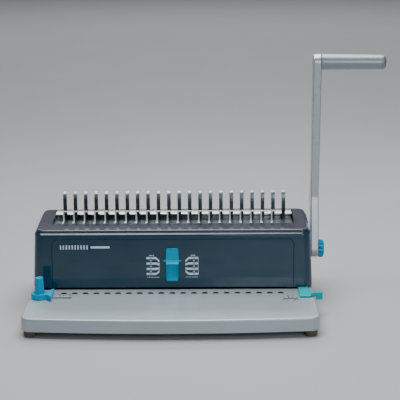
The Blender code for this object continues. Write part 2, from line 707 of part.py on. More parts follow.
def build_selector(selector):
    """The comb size slider. It is modelled upright, and its group leans back with the cover's face."""
    half, corner = 8.4, 1.8
    face = rounded_rect(-half, half, SELECTOR_LOW, SELECTOR_HIGH, corner, 3)
    top = rounded_rect(
        -half + 0.8, half - 0.8, SELECTOR_LOW + 0.8, SELECTOR_HIGH - 0.8, corner - 0.8, 3
    )
    rings = [place(face, "y", -GAP), place(face, "y", -2.4), place(top, "y", -3.2)]
    button = add_piece("selector_button", shape(loft, rings), selector, "teal_plastic", local=True)
    dish = [(-1.4, 13.6), (-6, 11.4), (-6, 31.0), (-2.0, 31.0)]
    cut(button, shape(prism, dish, "x", -half + 1.4, half - 1.4), selector, local=True)
    ridge_z, wing_z, wing = 33.4, 36.3, 13.2
    ridge = [
        (-2.6, ridge_z - 2.8),
        (-6.4, ridge_z - 2.0),
        (-7.4, ridge_z - 0.4),
        (-7.0, ridge_z + 1.2),
        (-2.6, ridge_z + 4.6),
    ]
    fuse(button, shape(prism, ridge, "x", -half + 0.3, half - 0.3), selector, local=True)
    wings = [
        (-wing, wing_z),
        (-half + 1, wing_z - 2.6),
        (half - 1, wing_z - 2.6),
        (wing, wing_z),
        (half - 1, wing_z + 2.4),
        (-half + 1, wing_z + 2.4),
    ]
    fuse(button, shape(prism, wings, "y", -2.3, -0.5), selector, local=True)
    stem = shape(box, (-2.7, 2.7), (-1.0, 4.2), (26.0, 32.0))
    fuse(button, stem, selector, local=True)
    plate = shape(box, (-8, 8), (4.5, 6.0), (19, 48))
    add_piece("selector_plate", plate, selector, "steel", local=True)


def build_margin_control(margin):
    """The lever is thick where a finger pushes it, and thin where it runs in under the cover."""
    z0, thin, thick = BASE_TOP + GAP, BASE_TOP + 1.9, BASE_TOP + 3.8
    profile = [
        (LEVER_FRONT, z0),
        (30, z0),
        (30, thin),
        (-7, thin),
        (-9, thick),
        (LEVER_FRONT + 2.2, thick),
        (LEVER_FRONT, thick - 1.3),
    ]
    lever = add_piece("margin_lever", shape(prism, profile, "x", LEVER_X0, LEVER_X1), margin, "teal_plastic")
    arm = [
        (178.5, z0 + 0.2),
        (188.2, z0 + 0.6),
        (188.2, 22.0),
        (196.2, 22.0),
        (196.2, 31.0),
        (195.0, 32.0),
        (182.5, 31.6),
        (178.5, thick - 0.3),
    ]
    fuse(lever, shape(prism, arm, "y", -34.5, -26.5), margin)
    bar = shape(box, (-150, LEVER_X0 - GAP), (24.5, 27.5), (z0, thin))
    add_piece("back_stop", bar, margin, "steel")


def guide_outline():
    """The side guide from above: a ring round its knob, then concave flanks out to a straight tail."""
    tail_x, tail_half, ring_r = -155.6, 17.5, 11.2
    points = arc(GUIDE_X, GUIDE_Y, ring_r, 50, 310, 18)
    start = Vector(points[-1])
    waist = Vector((-161.4, GUIDE_Y - 7.2))
    tip = Vector((tail_x, GUIDE_Y - tail_half))
    flank = []
    for i in range(1, 7):
        t = i / 6
        p = (1 - t) ** 2 * start + 2 * t * (1 - t) * waist + t**2 * tip
        flank.append((p.x, p.y))
    points += flank
    points += [(x, 2 * GUIDE_Y - y) for x, y in reversed(flank)]
    return points


def build_side_guide(side_guide):
    z0 = BASE_TOP + GAP
    solid = shape(prism, guide_outline(), "z", z0, GUIDE_TOP)
    body = add_piece("side_guide", solid, side_guide, "teal_plastic")
    cut(body, shape(rod, "z", (GUIDE_X, GUIDE_Y), 2.4, 20, 40, 16), side_guide)
    dish = [(7.4, GUIDE_TOP - GUIDE_DISH), (9.2, GUIDE_TOP + 0.4)]
    cut(body, shape(turned, "z", (GUIDE_X, GUIDE_Y), dish, 24), side_guide)
    skin = BASE_TOP - BASE_SKIN
    bolt = [(4.0, skin - 4.6), (4.0, skin - 2.1), (2.0, skin - 2.1), (2.0, 50)]
    add_piece("guide_bolt", shape(turned, "z", (GUIDE_X, GUIDE_Y), bolt, 16), side_guide, "steel")
    washer = [(2.4, skin - 1.8), (6.0, skin - 1.8), (6.0, skin - GAP), (2.4, skin - GAP)]
    washer = shape(turned, "z", (GUIDE_X, GUIDE_Y), washer, 16, closed=True)
    add_piece("guide_washer", washer, side_guide, "steel")


def build_guide_knob(knob):
    centre = (GUIDE_X, GUIDE_Y)
    stations = [(6.3, GUIDE_TOP - GUIDE_DISH + GAP), (6.2, 34.6), (5.5, 53.2), (5.0, 54.0)]
    rings = [place(lobed(*centre, r, 0.4, 14, 4), "z", at) for r, at in stations]
    body = add_piece("guide_knob", shape(loft, rings), knob, "teal_plastic")
    cut(body, shape(rod, "z", centre, 2.3, 20, 50.6, 16), knob)


def build_rear_screws(machine):
    """Two screws through the rear cover, each lying across its slope."""
    lean = math.atan2(BASE_REAR - RIM_REAR, RIM_Z - COVER_BOTTOM)
    for name, sign in sides_of("rear_screw"):
        bm = shape(turned, "y", (0, 0), [(1.5, -9), (1.5, -2.6), (3.0, -2.6), (3.0, -1.4), (2.2, -0.9)], 10)
        height = 45.0
        depth = BASE_REAR - (height - COVER_BOTTOM) * math.tan(lean)
        tilt = Matrix.Rotation(lean, 4, "X")
        place = Matrix.Translation((120 * sign, depth, height)) @ tilt
        bmesh.ops.transform(bm, verts=bm.verts, matrix=place)
        add_piece(name, bm, machine, "steel")
        well = shape(rod, "y", (0, 0), 3.4, -12, 4, 12)
        bmesh.ops.transform(well, verts=well.verts, matrix=place)
        cut(bpy.data.objects["rear_cover"], well, machine)


def main():
    clear_scene()
    machine = add_group("machine", (0, 0, 0))
    machine.location = Vector((-ORIGIN_X, -ORIGIN_Y, 0)) * MM
    handle = add_group("handle", (0, SHAFT_Y, SHAFT_Z), machine)
    handle_knob = add_group("handle_knob_turn", (ARM_X1, SHAFT_Y, SHAFT_Z), handle)
    press = add_group("press", (0, PUNCH_Y, BEAM_Z0), machine)
    hook_slide = add_group("hook_slide", (0, SHAFT_Y, HOOK_Z0), machine)
    selector = add_group("selector", (SELECTOR_X, 0, COVER_BOTTOM), machine, -FACE_TILT)
    margin = add_group("margin", (LEVER_X0, 0, BASE_TOP), machine)
    side_guide = add_group("side_guide_slide", (GUIDE_X, GUIDE_Y, BASE_TOP), machine)
    guide_knob = add_group("guide_knob_turn", (GUIDE_X, GUIDE_Y, GUIDE_TOP), side_guide)
    tray = add_group("tray", (0, BASE_REAR, TRAY_Z0), machine)

    build_base(machine)
    build_feet_and_screws(machine)
    build_chip_tray(tray)
    build_covers(machine)
    build_rear_screws(machine)
    build_frame(machine)
    build_punch_set(machine)
    build_press(press)
    build_shaft(handle)
    build_handle(handle)
    build_handle_knob(handle_knob)
    build_comb_bed(machine)
    build_comb_rake(machine)
    build_hook_slide(hook_slide)
    build_selector(selector)
    build_margin_control(margin)
    build_side_guide(side_guide)
    build_guide_knob(guide_knob)


main()
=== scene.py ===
# %% [markdown]
# # A comb binding machine, from plain solids to finished surfaces
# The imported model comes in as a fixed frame: solids that fit and move, but plain. This lesson puts a
# finished surface on each of them. Pieces that people look at or touch are made again here with rounded
# edges and fine detail, in the same places, and take over from their plain solids. Everything that
# stays as it was gets a proper material.

import json
import math

import bmesh
import bpy
from mathutils import Matrix, Vector


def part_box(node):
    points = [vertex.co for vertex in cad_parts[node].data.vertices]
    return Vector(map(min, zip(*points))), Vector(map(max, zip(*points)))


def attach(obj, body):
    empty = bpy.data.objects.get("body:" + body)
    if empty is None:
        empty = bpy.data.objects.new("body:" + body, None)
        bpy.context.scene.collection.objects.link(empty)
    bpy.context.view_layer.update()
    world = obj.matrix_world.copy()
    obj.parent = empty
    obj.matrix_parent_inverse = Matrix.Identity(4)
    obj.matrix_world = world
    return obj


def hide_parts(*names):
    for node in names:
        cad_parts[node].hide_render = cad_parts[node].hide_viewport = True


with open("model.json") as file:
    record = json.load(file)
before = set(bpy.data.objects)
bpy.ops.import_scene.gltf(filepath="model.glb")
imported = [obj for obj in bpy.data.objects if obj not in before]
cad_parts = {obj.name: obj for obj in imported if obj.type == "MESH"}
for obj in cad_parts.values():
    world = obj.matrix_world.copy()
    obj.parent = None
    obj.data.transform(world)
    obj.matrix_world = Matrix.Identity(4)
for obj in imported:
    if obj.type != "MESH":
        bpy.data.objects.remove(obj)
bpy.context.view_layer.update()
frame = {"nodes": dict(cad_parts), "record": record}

# %% [markdown]
# ## Measuring the frame
# The machine is easiest to describe in millimetres from its own corner: X from the middle of the deck,
# Y from the foot of the front cover and Z from the table. One translation and one scale turn that into
# the frame's metres, so every size below can be read off a ruler. The boxes of the solids give the
# driving sizes.

# %% The machine's own millimetres
MM = 0.001
deck_low, deck_high = (Vector(corner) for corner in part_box("base_plate"))
cover_low = Vector(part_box("front_cover")[0])
HOME = Vector(((deck_low.x + deck_high.x) / 2, cover_low.y, 0))
TO_FRAME = Matrix.Translation(HOME) @ Matrix.Scale(MM, 4)


def span_of(node):
    """The X, Y and Z ranges of a solid, in the machine's own millimetres."""
    low, high = (Vector(corner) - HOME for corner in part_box(node))
    return [(a / MM, b / MM) for a, b in zip(low, high)]


(DECK_X, DECK_Y, DECK_Z) = span_of("base_plate")
(COVER_X, _, COVER_Z) = span_of("front_cover")
(_, SHAFT_Y, SHAFT_Z) = span_of("main_shaft")
shaft_y, shaft_z = sum(SHAFT_Y) / 2, sum(SHAFT_Z) / 2
deck_half, deck_top = DECK_X[1], DECK_Z[1]
print(f"deck {2 * deck_half:.1f} mm wide, shaft at y {shaft_y:.1f}, z {shaft_z:.1f}")

# %% [markdown]
# ## Shapes from outlines
# Moulded and sheet-metal pieces are mostly one outline carried along a direction, or a turned profile.
# Blender could make them from primitives and operators, but a few functions that skin one ring of
# points to the next give exact sizes and clean quads. Fillets are then either rings that follow a
# quarter circle, where the edge catches a long highlight, or a Bevel modifier for the small edges.


# %% Outlines and skins
def arc(cx, cy, radius, start, end, steps):
    """Points on a circle between two angles in degrees, both ends included."""
    angles = [math.radians(start + (end - start) * i / steps) for i in range(steps + 1)]
    return [(cx + radius * math.cos(a), cy + radius * math.sin(a)) for a in angles]


def rounded(x0, x1, y0, y1, radius, steps=8):
    """A rectangle with rounded corners, anticlockwise."""
    points = []
    for x, y, start in ((x1, y1, 0), (x0, y1, 90), (x0, y0, 180), (x1, y0, 270)):
        cx = x - radius if x == x1 else x + radius
        cy = y - radius if y == y1 else y + radius
        points += arc(cx, cy, radius, start, start + 90, steps)
    return points


def lobed(cx, cy, radius, depth, lobes, per_lobe):
    """A circle with shallow scallops."""
    count = lobes * per_lobe
    points = []
    for i in range(count):
        a = 2 * math.pi * i / count
        r = radius - depth * (0.5 - 0.5 * math.cos(lobes * a))
        points.append((cx + r * math.cos(a), cy + r * math.sin(a)))
    return points


def lay(outline, axis, at):
    """The outline in 3-D, on the plane across the axis."""
    if axis == "x":
        return [Vector((at, u, v)) for u, v in outline]
    if axis == "y":
        return [Vector((u, at, v)) for u, v in outline]
    return [Vector((u, v, at)) for u, v in outline]


def skin(bm, rings, closed=False):
    """Joins rings with the same number of points. An open skin gets a cap at each end."""
    loops = [[bm.verts.new(p) for p in ring] for ring in rings]
    count = len(loops[0])
    pairs = list(zip(loops, loops[1:]))
    if closed:
        pairs.append((loops[-1], loops[0]))
    else:
        bm.faces.new(loops[0])
        bm.faces.new(loops[-1])
    for low, high in pairs:
        for i in range(count):
            j = (i + 1) % count
            bm.faces.new((low[i], low[j], high[j], high[i]))
    return bm


def plate(bm, outline, axis, low, high):
    return skin(bm, [lay(outline, axis, low), lay(outline, axis, high)])


def block(bm, x, y, z):
    return plate(bm, [(x[0], y[0]), (x[1], y[0]), (x[1], y[1]), (x[0], y[1])], "z", *z)


def turned(bm, axis, centre, profile, sides=48, closed=False):
    """A lathe shape. The profile is (radius, place along the axis) pairs."""
    rings = [lay(arc(*centre, r, 0, 360 * (sides - 1) / sides, sides - 1), axis, at) for r, at in profile]
    return skin(bm, rings, closed)


def quarter(radius, steps=6):
    """(inset, drop) pairs that round an edge over, from the upright side to the flat top."""
    angles = [math.pi / 2 * i / steps for i in range(steps + 1)]
    return [(radius * (1 - math.cos(a)), radius * (1 - math.sin(a))) for a in angles]


print("outline tools ready")

# %% [markdown]
# ## From a mesh to a finished piece
# Each piece is drawn in millimetres, moved to the frame, given its finish, and told which body carries
# it and which plain solid it stands for. Small edges are broken with a Bevel modifier limited by
# angle, and a Weighted Normal modifier keeps the large flat faces flat in the light. Holes are cut with
# an exact Boolean whose result is kept at once, so the bevel also runs round the new edges.

# %% Making, carving and finishing a piece
finishes = {}  # filled below: the finish's name and its material
slot_of = {part["node"]: part["material_slot"] for part in frame["record"]["subparts"]}
SHARP_TURN = 35  # degrees: an edge that turns more than this is shaded sharp and may be broken


def mesh_of(name, bm, matrix=TO_FRAME):
    bmesh.ops.recalc_face_normals(bm, faces=bm.faces)
    bm.transform(matrix)
    mesh = bpy.data.meshes.new(name)
    bm.to_mesh(mesh)
    bm.free()
    return mesh


def carve(obj, bm, operation="DIFFERENCE", matrix=TO_FRAME):
    """Cuts a shape from the piece, or joins it on, and keeps the result."""
    tool = bpy.data.objects.new("tool", mesh_of("tool", bm, matrix))
    bpy.context.scene.collection.objects.link(tool)
    step = obj.modifiers.new("carve", "BOOLEAN")
    step.operation = operation
    step.object = tool
    graph = bpy.context.evaluated_depsgraph_get()
    result = bpy.data.meshes.new_from_object(obj.evaluated_get(graph))
    obj.modifiers.remove(step)
    obj.data = result
    bpy.data.objects.remove(tool)


def start_piece(name, bm, matrix=TO_FRAME):
    obj = bpy.data.objects.new(name, mesh_of(name, bm, matrix))
    bpy.context.scene.collection.objects.link(obj)
    return obj


def break_edges(obj, width, segments, angle):
    bevel = obj.modifiers.new("broken edges", "BEVEL")
    bevel.width = width * MM
    bevel.segments = segments
    bevel.limit_method = "ANGLE"
    bevel.angle_limit = math.radians(angle)
    return bevel


def finish_piece(obj, finish, body, replaced=(), edge=0.0, segments=3):
    """Smooth shading, broken edges, the finish, and the body that carries the piece."""
    obj.data.materials.clear()
    obj.data.materials.append(finishes[finish])
    obj.data.shade_smooth()
    obj.data.set_sharp_from_angle(angle=math.radians(SHARP_TURN))
    if edge:
        break_edges(obj, edge, segments, SHARP_TURN).harden_normals = True
    normals = obj.modifiers.new("flat faces", "WEIGHTED_NORMAL")
    normals.keep_sharp = True
    if replaced:
        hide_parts(*replaced)
    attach(obj, body)
    print(f"{obj.name}: {len(obj.data.polygons)} faces, rides on {body}")


# %% [markdown]
# ## Writing shaders as sums
# A finish is rarely one flat value: paint has flake, plastic has a faint moulding grain, metal has
# scratches. Those come from noise that is scaled, added and clamped. Wrapping an output socket in a
# small class lets that be written as ordinary arithmetic, and each operator adds its Math node.


# %% A socket that can be calculated with
def add_node(tree, kind, settings=None, sockets=None, output=0):
    """Adds a node: first its settings, then the values or links of its sockets. Gives one output."""
    node = tree.nodes.new(kind)
    for key, value in (settings or {}).items():
        setattr(node, key, value)
    for key, value in (sockets or {}).items():
        if isinstance(value, Signal):
            tree.links.new(value.socket, node.inputs[key])
        else:
            node.inputs[key].default_value = value
    return Signal(node.outputs[output])


class Signal:
    """One output socket. Arithmetic on it adds Math nodes."""

    def __init__(self, socket):
        self.socket = socket

    def math(self, operation, first, second):
        return add_node(
            self.socket.id_data, "ShaderNodeMath", {"operation": operation}, {0: first, 1: second}
        )

    def __add__(self, other):
        return self.math("ADD", self, other)

    def __radd__(self, other):
        return self.math("ADD", other, self)

    def __sub__(self, other):
        return self.math("SUBTRACT", self, other)

    def __rsub__(self, other):
        return self.math("SUBTRACT", other, self)

    def __mul__(self, other):
        return self.math("MULTIPLY", self, other)

    def __rmul__(self, other):
        return self.math("MULTIPLY", other, self)


class Finish:
    """A material under construction: constants go on the shader, patterns are made and then fed to it."""

    def __init__(self, name, **constants):
        self.material = bpy.data.materials.new(name)
        self.material.use_nodes = True
        self.tree = self.material.node_tree
        self.shader = self.tree.nodes["Principled BSDF"]
        for key, value in constants.items():
            self.shader.inputs[key.replace("_", " ")].default_value = value
        self.place = self.make("ShaderNodeTexCoord", output=3)
        finishes[name] = self.material

    def make(self, kind, settings=None, sockets=None, output=0):
        return add_node(self.tree, kind, settings, sockets, output)

    def noise(self, size, detail=3.0, stretch=(1, 1, 1)):
        """Noise whose lumps are about size millimetres across, drawn out along an axis by stretch."""
        scaled = self.make(
            "ShaderNodeVectorMath", {"operation": "DIVIDE"}, {0: self.place, 1: stretch}
        )
        return self.make(
            "ShaderNodeTexNoise", {}, {"Vector": scaled, "Scale": 1 / (size * MM), "Detail": detail}
        )

    def height(self):
        """How far up the piece a point is, in metres."""
        return self.make("ShaderNodeSeparateXYZ", {}, {0: self.place}, 2)

    def between(self, amount, first, second):
        """A colour mixed from two by a signal from 0 to 1."""
        first, second = (c if isinstance(c, Signal) else (*c, 1) for c in (first, second))
        return self.make("ShaderNodeMix", {"data_type": "RGBA"}, {0: amount, 6: first, 7: second}, 2)

    def spread(self, signal, low, high):
        """The signal's middle range pulled out to 0 and 1, and clamped."""
        return self.make(
            "ShaderNodeMapRange", {"clamp": True}, {"Value": signal, "From Min": low, "From Max": high}
        )

    def feed(self, colour=None, roughness=None, height=None, depth=0.02, coat=None):
        """Connects patterns to the shader. The height becomes a bump of that depth in millimetres."""
        for key, signal in (("Base Color", colour), ("Roughness", roughness), ("Coat Weight", coat)):
            if signal is not None:
                self.tree.links.new(signal.socket, self.shader.inputs[key])
        if height is not None:
            bump = self.make("ShaderNodeBump", {}, {"Height": height, "Distance": depth * MM})
            self.tree.links.new(bump.socket, self.shader.inputs["Normal"])
        print(f"finish {self.material.name}: {len(self.tree.nodes)} nodes")


# %% [markdown]
# ## Plastics
# The front cover is a polished dark blue moulding. A clear coat gives its sharp reflection, and a slow
# noise in the roughness gives the faint smears that every handled gloss surface has. The lid and the
# rear cover are from a satin tool, so they get a fine grain in the bump instead. The controls are
# coloured through, so only their shine varies.


# %% Gloss and satin plastics
def gloss_plastic(name, dark, light, shine, coat, rim_height):
    """A polished moulding: deep colour, clear reflection, faint smears. The rim is polished most."""
    tint = (0.5, 0.8, 1.0, 1.0)
    finish = Finish(name, Coat_Roughness=0.04, Coat_IOR=2.4, IOR=1.38, Specular_Tint=tint)
    rim = finish.spread(finish.height(), rim_height - 6 * MM, rim_height - 4 * MM)
    smears = finish.spread(finish.noise(22, 5, (1.6, 1, 0.8)), 0.42, 0.72)
    dust = finish.spread(finish.noise(0.5, 2), 0.66, 0.8)
    ripple = finish.noise(9, 1)
    finish.feed(
        colour=finish.between(finish.noise(60, 2), dark, light),
        roughness=shine + 0.07 * smears + 0.12 * dust,
        height=ripple,
        depth=0.02,
        coat=coat - 0.08 * smears + rim * (1 - coat),
    )


def satin_plastic(name, dark, light, shine, grain=0.35, depth=0.012, coat=0.0):
    """A moulding from a spark-eroded tool: an even grain that softens the reflection."""
    finish = Finish(name, IOR=1.48, Coat_Weight=coat, Coat_IOR=1.8, Coat_Roughness=0.1)
    fine = finish.noise(grain, 2)
    wear = finish.spread(finish.noise(30, 4), 0.5, 0.75)
    finish.feed(
        colour=finish.between(finish.noise(14, 3), dark, light),
        roughness=shine + 0.08 * fine - 0.06 * wear,
        height=fine,
        depth=depth,
    )


def moulded_plastic(name, dark, light, shine):
    """Coloured through, with the soft shine of a part that fingers have polished."""
    finish = Finish(name, IOR=1.36, Specular_Tint=(0.1, 0.8, 1.0, 1.0))
    handled = finish.spread(finish.noise(7, 4), 0.45, 0.7)
    finish.feed(
        colour=finish.between(finish.noise(5, 3), dark, light),
        roughness=shine - 0.12 * handled,
        height=finish.noise(0.5, 2),
        depth=0.01,
    )


rim_height = COVER_Z[1] * MM
gloss_plastic("smoke_blue_gloss", (0.007, 0.031, 0.056), (0.010, 0.040, 0.071), 0.12, 0.24, rim_height)
satin_plastic("grey_blue_plastic", (0.017, 0.022, 0.041), (0.022, 0.028, 0.049), 0.16, 0.35, 0.004, 0.36)
moulded_plastic("teal_plastic", (0.0, 0.33, 0.56), (0.0, 0.38, 0.62), 0.30)
moulded_plastic("teal_green_plastic", (0.0, 0.40, 0.43), (0.0, 0.47, 0.51), 0.30)
satin_plastic("dark_plastic", (0.012, 0.013, 0.015), (0.02, 0.021, 0.024), 0.42, 0.6, 0.03)
satin_plastic("foot_rubber", (0.085, 0.062, 0.042), (0.12, 0.09, 0.064), 0.7, 0.5, 0.04)

# %% [markdown]
# ## Paint
# The deck has silver paint with fine metal flake. Each flake is smaller than the eye resolves, so it
# shows as a slight speckle in the colour and roughness, over an even sheen. The handle carries a
# coarser hammered coat, and the grip the same silver over plastic.


# %% Silver paints
def silver_paint(name, dark, light, shine, metal, lumps, depth):
    """Metallic paint: flake speckle in the colour, orange peel or hammer marks in the bump."""
    finish = Finish(name, Metallic=metal, IOR=1.5, Coat_Weight=0.25, Coat_Roughness=0.12)
    flake = finish.spread(finish.noise(0.3, 1), 0.35, 0.7)
    cloud = finish.noise(45, 4)
    wear_and_highlight = finish.spread(finish.noise(18, 5), 0.55, 0.8)
    finish.feed(
        colour=finish.between(0.55 * flake + 0.45 * cloud, dark, light),
        roughness=shine + 0.10 * flake - 0.07 * wear_and_highlight,
        height=finish.noise(lumps, 2),
        depth=depth,
    )


silver_paint("silver_paint", (0.345, 0.41, 0.45), (0.465, 0.54, 0.585), 0.34, 0.33, 1.2, 0.02)
silver_paint("handle_paint", (0.38, 0.44, 0.47), (0.52, 0.58, 0.61), 0.28, 0.72, 2.2, 0.05)
silver_paint("grip_plastic", (0.21, 0.26, 0.285), (0.29, 0.345, 0.37), 0.36, 0.55, 1.6, 0.03)

# %% [markdown]
# ## Bare and plated metal
# Chrome is a mirror with hairline polishing marks. Zinc plate on the inner steelwork is brushed: the
# same noise, drawn out a hundred times along the length of the machine, becomes fine lines. Sintered
# bronze is porous, so it has dark specks.


# %% Metals
def bright_metal(name, dark, light, shine, stretch, marks, depth, metal=1.0, painted_highlight=None):
    """Plated or brushed metal: fine lines along the machine in the roughness and in the bump. The last
    argument gives the heights of a painted highlight, where the colour turns to a lighter steel."""
    finish = Finish(name, Metallic=metal)
    lines = finish.noise(0.9, 4, stretch)
    stain = finish.spread(finish.noise(12, 4), 0.45, 0.75)
    colour = finish.between(stain, light, dark)
    # Painted highlight: the colour turns lighter between two heights and fades back a little above them.
    if painted_highlight:
        wear_and_highlight = finish.spread(finish.height(), painted_highlight[0] * MM, painted_highlight[1] * MM)
        highlight_fade = finish.spread(finish.height(), (painted_highlight[1] + 1.0) * MM, (painted_highlight[1] + 5.0) * MM)
        highlight_steel = (0.40, 0.43, 0.50)
        colour = finish.between(wear_and_highlight - 0.6 * highlight_fade, colour, highlight_steel)
    finish.feed(
        colour=colour,
        roughness=shine + marks * lines + 0.05 * stain,
        height=lines,
        depth=depth,
    )


bright_metal("chrome", (0.66, 0.66, 0.68), (0.80, 0.80, 0.82), 0.05, (6, 1, 6), 0.06, 0.002)
(RAKE_X, RAKE_Y, RAKE_Z) = span_of("comb_rake")
# The fingers' near-black colour is painted reflection of the dark room. tips gives the heights of a
# painted highlight, a lighter band on the bend below the ends.
tips = (RAKE_Z[1] - 10.5, RAKE_Z[1] - 5.5)
bright_metal(
    "finger_steel_painted_light", (0.035, 0.055, 0.066), (0.06, 0.09, 0.105), 0.24, (1, 1, 8), 0.08, 0.003, painted_highlight=tips
)
# The hooks' near-white colour is a painted highlight: the light that the polished steel hooks catch.
bright_metal("hook_steel_painted_highlight", (0.82, 0.88, 0.90), (0.95, 0.98, 1.0), 0.28, (2, 1, 2), 0.15, 0.004, 0.35)
# The bed's dark colour is painted shade: the steel lies deep in the lid's well.
bright_metal("bed_steel_painted_shade", (0.11, 0.15, 0.16), (0.17, 0.22, 0.235), 0.22, (14, 1, 1), 0.16, 0.01)
bright_metal("zinc_steel", (0.36, 0.37, 0.38), (0.52, 0.53, 0.54), 0.24, (90, 1, 1), 0.22, 0.01)
bright_metal("bronze", (0.30, 0.19, 0.08), (0.52, 0.34, 0.16), 0.34, (1, 1, 1), 0.2, 0.02)

# %% [markdown]
# ## Printing inks
# The scales and the hole marks are pad-printed. Ink lies a few hundredths of a millimetre proud of the
# surface, so it is made as thin plates rather than painted into another material: its edges then stay
# sharp from any distance. A fine noise lets a little of the coverage vary.


# %% Inks
def ink(name, dark, light, shine=0.45, density=1.45):
    finish = Finish(name, IOR=density)
    cover = finish.spread(finish.noise(0.6, 3), 0.3, 0.65)
    finish.feed(
        colour=finish.between(cover, dark, light),
        roughness=shine + 0.15 * cover,
        height=cover,
        depth=0.01,
    )


ink("pale_ink", (0.56, 0.68, 0.84), (0.72, 0.86, 1.0))
ink("grey_ink", (0.06, 0.068, 0.078), (0.04, 0.046, 0.055), 0.7, 1.2)
ink("dark_ink", (0.010, 0.011, 0.013), (0.005, 0.006, 0.007), 0.75, 1.15)

# %% [markdown]
# ## The deck
# The base is one deep-drawn pan, turned over: a flat top, a front edge that bows forward a little, and
# an edge rounded all the way round. That long rounded edge carries the brightest line of the whole
# machine, so it is skinned from rings that follow a quarter circle and not left to a modifier. The
# guide's slot has a thin dark liner: painted shade, so that it reads as a dark line from any side.

# %% Deck outline
deck_bow = 8.0
front_corner, rear_corner = 12.5, 10.0
deck_front, deck_rear = DECK_Y[0] + deck_bow, DECK_Y[1]


def deck_outline(inset):
    bend = deck_half - front_corner
    lean = math.degrees(math.atan(2 * deck_bow / bend))
    front_r, rear_r = front_corner - inset, rear_corner - inset
    rear_x, rear_y = deck_half - rear_corner, deck_rear - rear_corner
    points = arc(bend, deck_front + front_corner, front_r, -90 + lean, 0, 10)
    points += arc(rear_x, rear_y, rear_r, 0, 90, 8)
    points += arc(-rear_x, rear_y, rear_r, 90, 180, 8)
    points += arc(-bend, deck_front + front_corner, front_r, 180, 270 - lean, 10)
    steps = 24
    for i in range(1, steps):
        x = bend * (2 * i / steps - 1)
        points.append((x, deck_front + inset - deck_bow * (1 - (x / bend) ** 2)))
    return points


print(f"deck outline of {len(deck_outline(0))} points")

# %% Deck
deck_wall, deck_skin, deck_edge, hem_edge = 2.6, 2.8, 2.4, 0.9
through_deck, play, tray_play = (15, 40), 0.3, 0.8
rings = [lay(deck_outline(deck_wall), "z", deck_top - deck_skin)]
rings += [lay(deck_outline(deck_wall), "z", DECK_Z[0])]
for inset, drop in reversed(quarter(hem_edge, steps=3)):
    rings.append(lay(deck_outline(inset), "z", DECK_Z[0] + drop))
rings += [lay(deck_outline(inset), "z", deck_top - drop) for inset, drop in quarter(deck_edge)]
deck = start_piece("deck_pan", skin(bmesh.new(), rings))
(DIE_X, DIE_Y, _) = span_of("die_plate")
(BOLT_X, BOLT_Y, _) = span_of("guide_bolt")
(TRAY_X, _, TRAY_Z) = span_of("chip_tray")
slot_y, slot_half = sum(BOLT_Y) / 2, 2.4
slot_left, slot_right = sum(BOLT_X) / 2 - 1, -132.8


def slot_outline(half):
    """The long slot, with round ends, that the guide's bolt slides in."""
    points = arc(slot_right, slot_y, half, -90, 90, 10)
    return points + arc(slot_left, slot_y, half, 90, 270, 10)


window = [(DIE_X[0] - play, DIE_X[1] + play), (DIE_Y[0] - play, DIE_Y[1] + play)]
carve(deck, block(bmesh.new(), *window, through_deck))
carve(deck, plate(bmesh.new(), slot_outline(slot_half), "z", *through_deck))
mouth_x = (TRAY_X[0] - tray_play, TRAY_X[1] + tray_play)
carve(deck, block(bmesh.new(), mouth_x, (110, 140), (0, TRAY_Z[1] + tray_play)))
finish_piece(deck, "silver_paint", "frame", ["base_plate"], edge=0.35, segments=2)

# %% Slot liner of painted shade
# A thin dark sheet round the slot's inner walls: painted shade, so the lit far wall does not show.
slot_shade_low, slot_shade_high = deck_top - 2.6, deck_top - 0.1
outer, inner = slot_outline(slot_half - 0.02), slot_outline(slot_half - 0.2)
rings = [lay(outer, "z", slot_shade_low), lay(outer, "z", slot_shade_high)]
rings += [lay(inner, "z", slot_shade_high), lay(inner, "z", slot_shade_low)]
slot_shade = start_piece("slot_painted_shade", skin(bmesh.new(), rings, closed=True))
finish_piece(slot_shade, "dark_plastic", "frame")

# %% [markdown]
# ## The cover
# The front cover is an open box that leans back at the front and rear and narrows a little towards the
# top, as any moulding must to leave its tool. One function gives its outline at any height, and the
# front and rear covers are both cut from that one form, so the seam between them always matches. The
# rim's edge is drawn point by point, because it shows as a bright line under the lid.

# %% Cover form
(RIM_X, _, _) = span_of("top_cover")
(_, REAR_Y, _) = span_of("rear_cover")
cover_wall, cover_corner, lid_slope, seam_set = 2.6, 12.0, 0.0814, 14
foot_z, rim_front, rim_z = COVER_Z[0], 7.0, 101.5
foot_half, rim_half = COVER_X[1], RIM_X[1] + 3.0
foot_rear, rim_rear = REAR_Y[1], 99.0
face_lean = math.atan2(rim_front, rim_z - foot_z)


def cover_ring(level, inset):
    """The cover seen from above. level is 0 at the foot and 1 at the sloping rim."""
    half = foot_half + (rim_half - foot_half) * level - inset
    front = rim_front * level + inset
    rear = foot_rear + (rim_rear - foot_rear) * level - inset
    outline = rounded(-half, half, front, rear, cover_corner - inset)
    z = foot_z + (rim_z - foot_z) * level
    return [Vector((x, y, z + lid_slope * (y - rim_front) * level)) for x, y in outline]


# (inset, drop) pairs. The edge is nearly flat in its middle, so it mirrors a broad line of light.
rim_edge = [(0, 3.8), (0.06, 3.2), (0.22, 2.7), (0.52, 2.25), (1.04, 1.8), (1.56, 1.35), (2.08, 0.9)]
rim_edge += [(2.3, 0.6), (2.42, 0.3), (2.46, 0)]


def cover_form():
    height = rim_z - foot_z
    rings = [cover_ring(0, cover_wall), cover_ring(0, 0.6), cover_ring(0.003, 0.2), cover_ring(0.008, 0)]
    rings += [cover_ring(1 - drop / height, inset) for inset, drop in rim_edge]
    rings += [cover_ring(1, cover_wall)]
    return skin(bmesh.new(), rings, closed=True)


def seam_y(z):
    """The seam runs up each side, parallel to the rear wall."""
    return foot_rear - seam_set + (z - foot_z) * (rim_rear - foot_rear) / (rim_z - foot_z)


